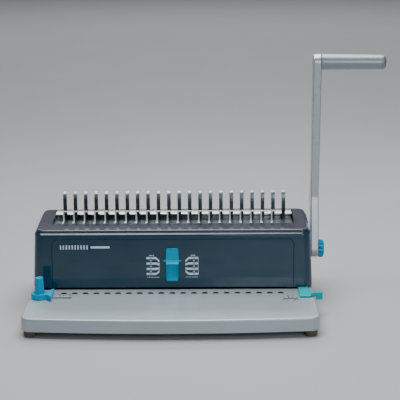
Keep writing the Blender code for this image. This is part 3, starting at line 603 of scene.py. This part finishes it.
def beyond_seam(shift, reach):
    low, high = 8.0, 128.0
    outline = [(seam_y(low) + shift, low), (reach, low), (reach, high), (seam_y(high) + shift, high)]
    return plate(bmesh.new(), outline, "x", -200, 200)


ON_FACE = TO_FRAME @ Matrix.Translation((0, 0, foot_z)) @ Matrix.Rotation(-face_lean, 4, "X")
print(f"front face leans back {math.degrees(face_lean):.1f} degrees")

# %% [markdown]
# The front face has a shallow groove like an upside-down U that frames the middle panel. A groove is
# cut with a V-shaped bar bent along the same path. Its upper wall turns away from the light and its
# lower wall towards it, which is what makes such a line readable on a dark gloss face.

# %% Front cover with its panel groove
panel_left, panel_right, panel_top, panel_corner = -159.8, 161.0, 65.0, 7.5
groove_half, groove_depth = 0.45, 0.8


def groove_path():
    """(x, z, direction across the groove) along the U, in the plane of the face."""
    left, right = panel_left + panel_corner, panel_right - panel_corner
    turn_z = panel_top - panel_corner
    stops = [(panel_left, -8, 180), (panel_left, turn_z, 180)]
    left_turn = arc(left, turn_z, panel_corner, 180, 90, 8)
    right_turn = arc(right, turn_z, panel_corner, 90, 0, 8)
    stops += [(*p, 180 - 90 * i / 8) for i, p in enumerate(left_turn)][1:]
    stops += [(*p, 90 - 90 * i / 8) for i, p in enumerate(right_turn)]
    return [*stops, (panel_right, -8, 0)]


rings = []
for x, z, turn in groove_path():
    across = Vector((math.cos(math.radians(turn)), 0, math.sin(math.radians(turn))))
    centre = Vector((x, 0, z))
    mouth = groove_half * 1.5 * across
    lip, root = Vector((0, -0.5 * groove_depth, 0)), Vector((0, groove_depth, 0))
    rings.append([centre + mouth + lip, centre + root, centre - mouth + lip])
front = start_piece("front_shell", cover_form())
carve(front, beyond_seam(-0.2, 220))
carve(front, skin(bmesh.new(), rings), matrix=ON_FACE)
shaft_hole = [(8, 176), (8, 195)]
carve(front, turned(bmesh.new(), "x", (shaft_y, shaft_z), shaft_hole, 32))
(BUTTON_X, _, _) = span_of("selector_button")
button_x, stem_half, stem_z = sum(BUTTON_X) / 2, 3.2, (44.6, 60.6)
carve(front, block(bmesh.new(), (button_x - stem_half, button_x + stem_half), (-6, 12), stem_z))
finish_piece(front, "smoke_blue_gloss", "frame", ["front_cover"], edge=0.25, segments=2)

# %% Rear cover with vents and screw wells
rear = start_piece("rear_shell", cover_form())
carve(rear, beyond_seam(0.2, -220))
vent_count, vent_step, vent_half, vent_z = 9, 12.0, 2, (55, 80)
for i in range(vent_count):
    x = (i - (vent_count - 1) / 2) * vent_step
    vent = rounded(x - vent_half, x + vent_half, *vent_z, 1.9, 6)
    carve(rear, plate(bmesh.new(), vent, "y", 90, 140))
rear_lean, screw_z = math.atan2(foot_rear - rim_rear, rim_z - foot_z), 45
for screw in ("rear_screw_left", "rear_screw_right"):
    screw_x = sum(span_of(screw)[0]) / 2
    centre = Vector((screw_x, foot_rear - (screw_z - foot_z) * math.tan(rear_lean), screw_z))
    aim = TO_FRAME @ Matrix.Translation(centre) @ Matrix.Rotation(rear_lean, 4, "X")
    carve(rear, turned(bmesh.new(), "y", (0, 0), [(3.4, -12), (3.4, 4)], 24), matrix=aim)
finish_piece(rear, "grey_blue_plastic", "frame", ["rear_cover"], edge=0.35, segments=2)

# %% [markdown]
# ## The lid
# The lid drops into the cover's rim and slopes up to the back. It has a long well for the comb opener.
# Its own edge is rounded too, so two bright lines run side by side with a dark gap between.

# %% Lid
lid_half, lid_front, lid_rear, lid_front_z = RIM_X[1], 10.0, 96.0, 104.6
lid_drop, lid_round, lid_corner, lid_skin = 8.0, 1.9, 10, 2.5
well_half, well_front, well_rear = 163.0, 35.0, 94.0


def lid_top(y):
    return lid_front_z + (y - lid_front) * lid_slope


def lid_ring(inset, drop):
    half, corner = lid_half - inset, lid_corner - inset
    outline = rounded(-half, half, lid_front + inset, lid_rear - inset, corner)
    return [Vector((x, y, lid_top(y) - drop)) for x, y in outline]


rings = [lid_ring(0, lid_drop)] + [lid_ring(*pair) for pair in quarter(lid_round, steps=8)]
lid = start_piece("lid", skin(bmesh.new(), rings))
well = rounded(-well_half, well_half, well_front, well_rear, 2.5, 6)
carve(lid, plate(bmesh.new(), well, "z", 80, 130))
hollows = [
    (-lid_half + lid_skin, -well_half - lid_skin, lid_front + lid_skin, lid_rear - lid_skin),
    (well_half + lid_skin, lid_half - lid_skin, lid_front + lid_skin, lid_rear - lid_skin),
    (-well_half, well_half, lid_front + lid_skin, well_front - lid_skin),
]
for x0, x1, y0, y1 in hollows:
    side = [(y0, 80), (y1, 80), (y1, lid_top(y1) - lid_skin), (y0, lid_top(y0) - lid_skin)]
    carve(lid, plate(bmesh.new(), side, "x", x0, x1))
finish_piece(lid, "grey_blue_plastic", "frame", ["top_cover"], edge=0.5)

# %% [markdown]
# ## The comb opener
# Upright steel fingers hold the comb's spine, and a row of small hooks in front of them pulls its
# rings open. Each finger is a flat bar that curves back and narrows to a round tip. The curve matters
# more than anything else here: it is where the steel turns from the dark lid to the light above.

# %% Fingers and their rail
pitch = 14.2875  # 9/16 inch, the distance between the rings of a comb
finger_count, finger_half, finger_thick, finger_shift = 22, 2.55, 2.4, 0.9
finger_front, finger_top = RAKE_Y[0], RAKE_Z[1]
finger_x = [finger_shift + (i - (finger_count - 1) / 2) * pitch for i in range(finger_count)]


def finger(bm, x):
    """Upright to the bend, then a quarter of a long ellipse to the back, with a round end."""
    mid = finger_front + finger_thick / 2
    bend_z, bend_reach = 123.5, 8.0
    rise = finger_top - bend_z - 0.6
    path = [(mid, RAKE_Z[0] + 0.4, 0.0), (mid, bend_z, 0.0)]
    for turn in (8, 16, 24, 32, 40, 48, 55, 61, 66, 70, 73, 75.5, 77.5, 78.5):
        a = math.radians(turn)
        lean = math.atan2(bend_reach * math.sin(a), rise * math.cos(a))
        path.append((mid + bend_reach * (1 - math.cos(a)), bend_z + rise * math.sin(a), lean))
    end = Vector(path[-1][:2])
    rings = []
    for y, z, lean in path:
        left = min(1.0, (end - Vector((y, z))).length / finger_half)
        width = finger_half * max(0.3, math.sqrt(1 - (1 - left) ** 2))
        out = Vector((0, -math.cos(lean), math.sin(lean)))
        section = rounded(-width, width, -finger_thick / 2, finger_thick / 2, 0.4, 3)
        rings.append([Vector((x + u, y, z)) - out * v for u, v in section])
    skin(bm, rings)


rail_line = [(RAKE_Y[1], RAKE_Z[0]), (RAKE_Y[1], 111.4), (91.6, 111.8), (77.2, 109.8), (76.7, 109.2)]
rail_line += [(76.7, 108.3), (91.2, 110.2), (91.2, RAKE_Z[0])]
rail = start_piece("finger_rail", plate(bmesh.new(), rail_line, "x", *RAKE_X))
finish_piece(rail, "chrome", "frame", ["comb_rake"], edge=0.3, segments=2)
fingers = bmesh.new()
for x in finger_x:
    finger(fingers, x)
finish_piece(start_piece("fingers", fingers), "finger_steel_painted_light", "frame", ["comb_rake"])

# %% Hooks on their sliding plate
(HOOK_X, HOOK_Y, HOOK_Z) = span_of("hook_plate")
hook_top, hook_foot, hook_sheet = HOOK_Z[1], HOOK_Z[0], 1.5
hooks = block(bmesh.new(), HOOK_X, HOOK_Y, (hook_foot, hook_foot + hook_sheet))
leg, reach, thick, hook_shift, hook_y = 1.0, 4.4, 1.8, 2.0, (69.6, 71.4)
nose_r, heel_r = 0.9, 1.3
for x in (centre - hook_shift for centre in finger_x[:-1]):
    inner = arc(x + leg + nose_r, hook_top - thick - nose_r, nose_r, 180, 90, 4)
    outline = [
        (x - leg, hook_foot + 0.6),
        (x + leg, hook_foot + 0.6),
        *inner,
        (x + reach, hook_top - thick),
        *arc(x + reach - nose_r, hook_top - nose_r, nose_r, 0, 90, 4),
        *arc(x - leg + heel_r, hook_top - heel_r, heel_r, 90, 180, 5),
    ]
    plate(hooks, outline, "y", *hook_y)
finish_piece(start_piece("hook_row", hooks), "hook_steel_painted_highlight", "hook_slide", ["hook_plate"], edge=0.3)

# %% [markdown]
# ## The handle
# The arm is a flat bar: a round boss on the shaft, a short length that leans back, then a long
# upright length that narrows to the grip. Its edges are well rounded, because a hand slides along it.
# The grip is a turned sleeve with a slight taper and a domed end, and it droops a little.

# %% Arm
(ARM_X, _, ARM_Z) = span_of("handle_arm")
(GRIP_X, GRIP_Y, GRIP_Z) = span_of("handle_grip")
grip_y, grip_z = sum(GRIP_Y) / 2, sum(GRIP_Z) / 2
grip_r = (GRIP_Z[1] - GRIP_Z[0]) / 2
boss_r = shaft_z - ARM_Z[0]
arm_line = arc(shaft_y, shaft_z, boss_r, 172, 350, 20)
arm_line += [(99, 128), (98.6, 134), (97, 141), (94.4, 147), (91, 152), (82, 306)]
arm_line += arc(grip_y, grip_z, grip_r + 0.2, -8, 188, 20)
arm_line += [(71.7, 135.2), (71.2, 132.4)]
arm = start_piece("arm", plate(bmesh.new(), arm_line, "x", *ARM_X))
shaft_bore, rod_bore, past_arm = 6.3, 4.3, 210
carve(arm, turned(bmesh.new(), "x", (shaft_y, shaft_z), [(shaft_bore, 180), (shaft_bore, past_arm)], 40))
rod_hole = [(rod_bore, ARM_X[0] + 3), (rod_bore, past_arm)]
carve(arm, turned(bmesh.new(), "x", (grip_y, grip_z), rod_hole, 32))
finish_piece(arm, "handle_paint", "handle", ["handle_arm"], edge=1.3, segments=4)

# %% Grip and its end
(CAP_X, _, _) = span_of("grip_end_cap")
root_r, tip_r, dome_from, corner = grip_r + 0.3, grip_r - 0.5, GRIP_X[1] - 2.6, 5.0
droop = math.radians(0.6)
root = Matrix.Translation((GRIP_X[0], grip_y, grip_z))
DROOPING = TO_FRAME @ root @ Matrix.Rotation(droop, 4, "Y") @ root.inverted()
profile = [(rod_bore, GRIP_X[0]), (root_r - 0.3, GRIP_X[0]), (root_r, GRIP_X[0] + 0.3)]
profile += [(tip_r, dome_from - 0.3), (tip_r - 0.3, dome_from), (rod_bore, dome_from)]
sleeve = turned(bmesh.new(), "x", (grip_y, grip_z), profile, 56, closed=True)
finish_piece(start_piece("grip_sleeve", sleeve, DROOPING), "grip_plastic", "handle", ["handle_grip"])
cap_from, plug_r = dome_from + 0.2, 4.0
profile = [(plug_r, CAP_X[0]), (plug_r, cap_from), (tip_r - 0.3, cap_from), (tip_r, dome_from + 0.5)]
profile += [(tip_r - corner + v, CAP_X[1] - 0.3 - corner + u) for u, v in arc(0, 0, corner, 90, 0, 8)]
profile += [(4.5, CAP_X[1] - 0.1), (1.0, CAP_X[1])]
cap = turned(bmesh.new(), "x", (grip_y, grip_z), profile, 56)
finish_piece(start_piece("grip_cap", cap, DROOPING), "grip_plastic", "handle", ["grip_end_cap"])

# %% [markdown]
# ## Knobs
# Both knobs are scalloped so that fingers can turn them. The outline is a circle whose radius dips
# between lobes, stacked in rings that swell and close like a dome. Plenty of points round the outline
# keep the scallops soft.

# %% Handle knob
(KNOB_X, _, KNOB_Z) = span_of("handle_knob")
knob_r, knob_width = (KNOB_Z[1] - KNOB_Z[0]) / 2 + 0.7, KNOB_X[1] - KNOB_X[0]
stations = [(0.88, 0.0), (0.96, 0.04), (1.0, 0.14), (1.0, 0.5), (0.98, 0.66), (0.94, 0.8), (0.86, 0.91)]
stations += [(0.76, 0.97), (0.62, 1.0), (0.52, 1.0), (0.48, 0.93), (0.2, 0.92)]
knob_lobes, deepest = 12, 3.2
rings = []
for scale, depth in stations:
    scallop = deepest if scale > 0.8 else deepest * max(0.0, scale - 0.5) / 0.3
    outline = lobed(shaft_y, shaft_z, knob_r * scale, scallop, knob_lobes, 10)
    rings.append(lay(outline, "x", KNOB_X[0] + knob_width * depth))
arm_knob = start_piece("arm_knob", skin(bmesh.new(), rings))
finish_piece(arm_knob, "teal_plastic", "handle_knob", ["handle_knob"])

# %% Side guide and its knob
(GUIDE_X, _, GUIDE_Z) = span_of("side_guide")
(_, _, TURN_Z) = span_of("guide_knob")
guide_x, guide_y = sum(BOLT_X) / 2, slot_y
ring_r, tail_x, tail_half, waist = 11.2, GUIDE_X[1], 17.5, (-161.4, guide_y - 7.2)


def guide_line():
    """A ring round the knob, then hollow flanks that open out to a straight tail."""
    points = arc(guide_x, guide_y, ring_r, 50, 310, 36)
    start, steps = points[-1], 12
    flank = []
    for i in range(1, steps + 1):
        t = i / steps
        x = (1 - t) ** 2 * start[0] + 2 * t * (1 - t) * waist[0] + t**2 * tail_x
        y = (1 - t) ** 2 * start[1] + 2 * t * (1 - t) * waist[1] + t**2 * (guide_y - tail_half)
        flank.append((x, y))
    return points + flank + [(x, 2 * guide_y - y) for x, y in reversed(flank)]


guide = start_piece("guide_body", plate(bmesh.new(), guide_line(), "z", *GUIDE_Z))
dish = [(7.4, GUIDE_Z[1] - 1.6), (9.2, GUIDE_Z[1] + 0.4)]
carve(guide, turned(bmesh.new(), "z", (guide_x, guide_y), dish, 40))
bolt_hole = [(2.4, 20), (2.4, 40)]
carve(guide, turned(bmesh.new(), "z", (guide_x, guide_y), bolt_hole, 24))
finish_piece(guide, "teal_plastic", "side_guide", ["side_guide"], edge=0.6)

knob_height = TURN_Z[1] - TURN_Z[0]
stations = [(6.3, 0), (6.3, 0.08), (6.1, 0.13), (5.5, 0.93), (5.4, 0.965), (5.15, 0.99)]
stations += [(4.8, 1.0), (3.6, 1.0), (3.3, 0.97)]
rib_count = 18
rings = []
for radius, depth in stations:
    rib = 0.5 if 0.1 < depth < 0.97 else 0.12
    outline = lobed(guide_x, guide_y, radius, rib, rib_count, 8)
    rings.append(lay(outline, "z", TURN_Z[0] + knob_height * depth))
guide_turn = start_piece("guide_turn", skin(bmesh.new(), rings))
finish_piece(guide_turn, "teal_plastic", "guide_knob", ["guide_knob"])

# %% [markdown]
# ## Depth lever
# The lever that sets how far the sheets go in is a tongue with a thick front and a thin tail, and an
# arm that reaches over the deck's side to a finger tab. The two bars are joined into one body before
# the edges are rounded, so that the rounding runs cleanly through the corner.

# %% Depth lever
(LEVER_X, LEVER_Y, LEVER_Z) = span_of("margin_lever")
tongue_x = (LEVER_X[0], LEVER_X[0] + 14.0)
low, thin, thick = deck_top + 0.3, deck_top + 1.9, deck_top + 3.8
side = [(LEVER_Y[0], low), (LEVER_Y[1], low), (LEVER_Y[1], thin), (-7, thin), (-9, thick)]
side += [(LEVER_Y[0] + 2.2, thick), (LEVER_Y[0], thick - 1.3)]
lever = start_piece("depth_lever", plate(bmesh.new(), side, "x", *tongue_x))
tab_x, arm_top = 188.2, LEVER_Z[1]
hook = [(178.5, low + 0.2), (tab_x, low + 0.6), (tab_x, LEVER_Z[0]), (LEVER_X[1], LEVER_Z[0])]
hook += [(LEVER_X[1], arm_top - 1), (LEVER_X[1] - 1.2, arm_top), (182.5, arm_top - 0.4)]
hook += [(178.5, thick - 0.3)]
carve(lever, plate(bmesh.new(), hook, "y", -34.5, -26.5), "UNION")
finish_piece(lever, "teal_green_plastic", "margin_control", ["margin_lever"], edge=0.5)

# %% [markdown]
# ## Comb size selector
# The slider has a flat head in a fine frame, a ridge for the fingertip with a pointer at each end, and
# a scooped well below it. It is drawn upright and then leaned back with the cover's face. The scoop is
# cut with a curved bar, so it is deepest just under the ridge.

# %% Selector slider
slider_half, slider_low, slider_high = 8.4, 9.4, 53.3
ridge_z, pointer_z, pointer = 33.4, 36.3, 13.2
shoulder, foot_half_width = 8.7, 7.9
face_line = arc(foot_half_width - 2, slider_high - 2, 2.0, 0, 90, 6)
face_line += arc(2 - foot_half_width, slider_high - 2, 2.0, 90, 180, 6)
face_line += [(-shoulder, pointer_z + 1), (-shoulder, ridge_z - 1.5), (-foot_half_width, ridge_z - 2.5)]
face_line += arc(2 - foot_half_width, slider_low + 2, 2.0, 180, 270, 6)
face_line += arc(foot_half_width - 2, slider_low + 2, 2.0, 270, 360, 6)
face_line += [(foot_half_width, ridge_z - 2.5), (shoulder, ridge_z - 1.5), (shoulder, pointer_z + 1)]
slider = start_piece("slider", plate(bmesh.new(), face_line, "y", -3.2, -0.3), ON_FACE)
scoop_half = foot_half_width - 1.1
scoop = [(-6.0, ridge_z - 1), (-6.0, slider_low + 1.3), (-3.3, slider_low + 1.3)]
scoop += [(-2.5, slider_low + 2.7), (-1.9, slider_low + 4.7), (-1.4, slider_low + 7.6)]
scoop += [(-1.05, slider_low + 11.2)]
scoop += [(-0.9, slider_low + 15.2), (-0.95, ridge_z - 5), (-1.3, ridge_z - 1)]
carve(slider, plate(bmesh.new(), scoop, "x", -scoop_half, scoop_half), matrix=ON_FACE)
head = rounded(-6.9, 6.9, pointer_z + 3.0, slider_high - 1.1, 1.2)
carve(slider, plate(bmesh.new(), head, "y", -6, -2.8), matrix=ON_FACE)
ridge = [(-2.0, ridge_z - 2.8), (-5.4, ridge_z - 2.0)]
ridge += arc(-5.4, ridge_z - 0.9, 1.1, 270, 110, 6)
ridge += [(-4.4, ridge_z + 1.6), (-3.9, ridge_z + 3.2), (-3.2, ridge_z + 3.8), (-2.0, ridge_z + 3.8)]
carve(slider, plate(bmesh.new(), ridge, "x", -slider_half + 0.3, slider_half - 0.3), "UNION", ON_FACE)
wings = [(-pointer, pointer_z), (-slider_half + 1, pointer_z - 2.6), (slider_half - 1, pointer_z - 2.6)]
wings += [(pointer, pointer_z), (slider_half - 1, pointer_z + 2.4), (-slider_half + 1, pointer_z + 2.4)]
carve(slider, plate(bmesh.new(), wings, "y", -2.3, -0.5), "UNION", ON_FACE)
carve(slider, block(bmesh.new(), (-2.7, 2.7), (-1.0, 4.2), (26.0, 32.0)), "UNION", ON_FACE)
finish_piece(slider, "teal_plastic", "selector", ["selector_button"], edge=0.45)

# %% [markdown]
# ## Printed scales
# Each side of the slider has four pale bars. Their outer ends are evenly spaced, and their inner ends
# bend in towards the pointer, so a comb size reads straight across to a slider position. The bars are
# one outline each: a level part and a slanting part. A real scale has words beside it, which are left
# out here, and short plain dashes stand in their places.

# %% Scales on the front face
ink_low, ink_high = -0.07, 0.05
bar_outer = [39.8, 32.4, 25.1, 18.3]
bar_inner = [35.2, 31.1, 25.8, 22.0]
bar_half, bar_far, bar_bend, bar_near = 1.4, 34.4, 21.8, 17.2


def scale_bars(side):
    bm = bmesh.new()
    for outer, inner in zip(bar_outer, bar_inner):
        upper = [(bar_far, outer + bar_half), (bar_bend, outer + bar_half), (bar_near, inner + bar_half)]
        lower = [(bar_near, inner - bar_half), (bar_bend, outer - bar_half), (bar_far, outer - bar_half)]
        outline = [(side * x + button_x, z) for x, z in upper + lower]
        plate(bm, outline, "y", ink_low, ink_high)
    return bm


def dash(bm, side, near, far, low, high, sunk=0.0):
    """One small block of ink. near and far are its distances from the slider."""
    block(bm, sorted((side * near, side * far)), (ink_low - sunk, ink_high), (low, high))


def scale_dashes(side):
    """A small dark dash on each bar, where a scale has its sizes."""
    bm = bmesh.new()
    for outer in bar_outer:
        dash(bm, side, 27.0, 30.2, outer - 0.45, outer + 0.45, sunk=0.02)
    return bm


def caption_dashes(side):
    """Pale dashes above, below and between the bars, and a fine line across the ends of the bars."""
    bm = bmesh.new()
    for i in range(3):
        x = 24.4 + 2.2 * i
        dash(bm, side, x, x + 1.5, 42.7, 43.9)
    for i in range(8):
        x = 17.6 + 2.1 * i
        dash(bm, side, x, x + 1.0, 13.4, 14.4)
    for upper, lower in zip(bar_outer, bar_outer[1:]):
        middle = (upper + lower) / 2
        dash(bm, side, 27.4, 29.8, middle - 0.5, middle + 0.5)
    edge, ends = (bar_far, bar_outer) if side > 0 else (bar_near + 0.5, bar_inner)
    dash(bm, side, edge - 0.5, edge, ends[-1], ends[0])
    return bm


for side, word in ((-1, "left"), (1, "right")):
    finish_piece(start_piece(f"scale_{word}", scale_bars(side), ON_FACE), "pale_ink", "frame")
    finish_piece(start_piece(f"scale_sizes_{word}", scale_dashes(side), ON_FACE), "dark_ink", "frame")
    finish_piece(start_piece(f"scale_caption_{word}", caption_dashes(side), ON_FACE), "pale_ink", "frame")

# %% [markdown]
# At the upper left of the panel a maker would print a name. This machine has none, so a plain sign for
# its job goes there: a bound spine drawn as a row of rings, with a long bar after it.

# %% A plain sign on the panel
sign = bmesh.new()
sign_left, sign_low, sign_high = -149.0, 51.6, 57.6
ring_count, ring_step, ring_wide = 10, 3.9, 1.7
for i in range(ring_count):
    x = sign_left + ring_step * i
    plate(sign, rounded(x, x + ring_wide, sign_low, sign_high, 0.8, 4), "y", ink_low, ink_high)
long_bar = rounded(sign_left + 40.5, sign_left + 66.0, 53.2, 56.0, 1.3, 5)
plate(sign, long_bar, "y", ink_low, ink_high)
finish_piece(start_piece("panel_sign", sign, ON_FACE), "pale_ink", "frame")

# %% [markdown]
# ## Marks on the deck
# A dark dash on the deck shows where each hole will be punched, at the pitch of the comb. Beside the
# guide's slot are three small ticks for paper sizes, and beside the lever a little fan that stands for
# few or many sheets.

# %% Hole marks, size ticks and the sheet fan
hole_count, mark_y, mark_half = 21, -16.0, 4.1
mark_low, mark_high = deck_top - 0.05, deck_top + 0.06
half_turn = [math.pi * i / 10 for i in range(11)]
marks = bmesh.new()
for i in range(hole_count):
    x = (i - (hole_count - 1) / 2) * pitch
    base = [(x - mark_half, mark_y - 3.6), (x + mark_half, mark_y - 3.6)]
    bow = [(x + mark_half * math.cos(a), mark_y - 2.0 + 5.0 * math.sin(a)) for a in half_turn]
    plate(marks, base + bow, "z", mark_low, mark_high)
finish_piece(start_piece("hole_marks", marks), "dark_ink", "frame")

ticks = bmesh.new()
for x in (-147.0, -142.9, -134.0):
    block(ticks, (x - 0.4, x + 0.4), (-28.5, -22.5), (mark_low, mark_high))
for x0, x1 in ((-151.0, -146.0), (-137.5, -131.5)):
    block(ticks, (x0, x1), (-21.6, -20.6), (mark_low, mark_high))
finish_piece(start_piece("size_ticks", ticks), "dark_ink", "frame")

fan = bmesh.new()
fan_x, fan_y, fan_wide, fan_deep = 154.0, -62.0, 0.7, 1.45
sticks = [(122, 10, 24, 0.4), (100, 13, 25, 0.8), (76, 13, 25, 0.4), (54, 10, 24, 0.6)]
for turn, start, end, half in sticks:
    a = math.radians(turn)
    along, across = Vector((math.cos(a), math.sin(a), 0)), Vector((-math.sin(a), math.cos(a), 0))
    corners = [along * start - across * half, along * end - across * half]
    corners += [along * end + across * half, along * start + across * half]
    stick = [(fan_x + fan_wide * p.x, fan_y + fan_deep * p.y) for p in corners]
    plate(fan, stick, "z", mark_low, mark_high)


def fan_arc(wide, foot, tall, turns):
    return [(fan_x + wide * math.cos(a), fan_y + fan_deep * (foot + tall * math.sin(a))) for a in turns]


rim = fan_arc(10.3, 11, 5.0, half_turn) + fan_arc(9.6, 10, 4.2, reversed(half_turn))
plate(fan, rim, "z", mark_low, mark_high)
finish_piece(start_piece("sheet_fan", fan), "grey_ink", "frame")

# %% [markdown]
# Paper slides in under the cover over a black strip on the deck. The strip is painted shade: it is
# why the line under the cover is quite black.

# %% Painted shade in the throat
# A black sheet on the deck under the cover's foot: painted shade for the throat.
throat_shade = block(bmesh.new(), (-foot_half + 5, foot_half - 5), (-1.4, 7.0), (mark_low, mark_high))
finish_piece(start_piece("throat_painted_shade", throat_shade), "dark_ink", "frame")

# %% [markdown]
# ## Feet
# The feet are short rubber pads, slightly barrelled by the weight on them, with a chamfer at the table.

# %% Feet
for number in (1, 2, 3, 4):
    (x0, x1), (y0, y1), (_, z1) = span_of(f"foot_{number}")
    centre, r = ((x0 + x1) / 2, (y0 + y1) / 2), (x1 - x0) / 2
    seat = DECK_Z[0] - 0.3
    profile = [(r - 1.5, 0), (r - 0.9, 0.25), (r - 0.35, 1.0), (r - 0.05, 2.6), (r, 4.4)]
    profile += [(r - 0.1, seat - 0.8), (r - 0.5, seat), (2.9, seat), (2.9, z1)]
    foot = turned(bmesh.new(), "z", centre, profile, 40)
    finish_piece(start_piece(f"rubber_foot_{number}", foot), "foot_rubber", "frame", [f"foot_{number}"])

# %% [markdown]
# ## The solids that stay
# The steelwork inside, the screws, the springs and the chip tray are right as they are. They get the
# finish of their material slot, and the ones with long sheet edges get a small bevel too.

# %% Finishes for the plain solids
# The comb bed takes the bed finish, with its painted shade, in place of its slot's finish.
shown = [name for name, node in frame["nodes"].items() if not node.hide_render]
for name in shown:
    node = frame["nodes"][name]
    for place in node.material_slots:
        place.material = finishes["bed_steel_painted_shade" if name == "comb_bed" else slot_of[name]]
for name in ("comb_bed", "chip_tray", "bottom_cover"):
    break_edges(frame["nodes"][name], width=0.3, segments=2, angle=40)
print(f"{len(shown)} plain solids finished")

# %% [markdown]
# ## Stage and light
# A pale sweep carries the machine. The light is what a studio would set for gloss and chrome: a large
# soft panel overhead, one behind that draws the bright lines on the edges and on the rail, and two
# weak ones in front that lift the upright faces. A fifth lights the backdrop, and the room is dim.

# %% Floor
floor_mesh = bpy.data.meshes.new("floor")
floor_bm = bmesh.new()
cove_y, cove_r, floor_half = 6.0, 1.5, 9
sweep = [(-8.0, 0.0), (cove_y, 0.0)]
for a in (0.3, 0.6, 0.9, 1.2, 1.57):
    sweep.append((cove_y + cove_r * math.sin(a), cove_r - cove_r * math.cos(a)))
sweep.append((cove_y + cove_r, 5.0))
rows = [[floor_bm.verts.new((x, y, z)) for x in (-floor_half, floor_half)] for y, z in sweep]
for near, far in zip(rows, rows[1:]):
    floor_bm.faces.new((near[0], near[1], far[1], far[0]))
floor_bm.to_mesh(floor_mesh)
floor_bm.free()
floor = bpy.data.objects.new("floor", floor_mesh)
bpy.context.scene.collection.objects.link(floor)
paper = Finish("pale_paper", IOR=1.4)
paper.feed(
    colour=paper.between(paper.noise(300, 2), (0.40, 0.41, 0.42), (0.44, 0.45, 0.46)),
    roughness=0.55 + 0.1 * paper.noise(40),
)
floor_mesh.materials.append(paper.material)
floor_mesh.shade_smooth()
print("floor laid")


# %% Lights
def panel(name, place, aim, size, power, tint=(1, 1, 1)):
    """A rectangular soft light that faces a point."""
    light = bpy.data.lights.new(name, "AREA")
    light.shape = "RECTANGLE"
    light.size, light.size_y = size
    light.energy = power
    light.color = tint
    lamp = bpy.data.objects.new(name, light)
    lamp.location = place
    lamp.rotation_euler = (Vector(aim) - Vector(place)).to_track_quat("-Z", "Y").to_euler()
    bpy.context.scene.collection.objects.link(lamp)


panel("overhead", (-0.05, 0.1, 1.3), (0, 0.05, 0.05), (1.5, 0.9), 28)
panel("front", (0.6, -2.7, 0.5), (0.1, 0, 0.1), (1.2, 0.8), 7, (0.94, 0.97, 1.0))
panel("behind", (0.05, 2.0, 1.66), (0, 0, 0.1), (2.6, 0.9), 14, (1.0, 0.94, 0.95))
panel("front_right", (0.5, -0.95, 0.55), (0.15, -0.5, 0.0), (0.5, 0.4), 3, (0.95, 0.98, 1.0))
panel("backdrop", (0.0, 3.4, 2.6), (0, 4.2, 0), (4.0, 1.5), 80)
world = bpy.data.worlds.new("room")
world.use_nodes = True
room = world.node_tree.nodes["Background"]
room.inputs["Color"].default_value = (0.55, 0.58, 0.62, 1)
room.inputs["Strength"].default_value = 0.14
bpy.context.scene.world = world
print("five soft panels and a dim room")

# %% [markdown]
# ## Camera
# The machine is seen from in front and a little above, from about a metre and a half away, which keeps
# its long edges nearly parallel.

# %% Camera
lens = bpy.data.cameras.new("camera")
lens.sensor_width = 36
lens.lens = 103.5
lens.clip_end = 30
camera = bpy.data.objects.new("camera", lens)
pan, downward, roll = math.radians(0.599), math.radians(90 - 14.11), math.radians(-0.442)
look = Matrix.Rotation(pan, 4, "Z") @ Matrix.Rotation(downward, 4, "X")
place = HOME + Vector((52.5, -1456.0, 514.0)) * MM
camera.matrix_world = Matrix.Translation(place) @ look @ Matrix.Rotation(roll, 4, "Z")
bpy.context.scene.collection.objects.link(camera)
bpy.context.scene.camera = camera
print(f"camera {-place.y:.2f} m in front, {place.z:.2f} m up")
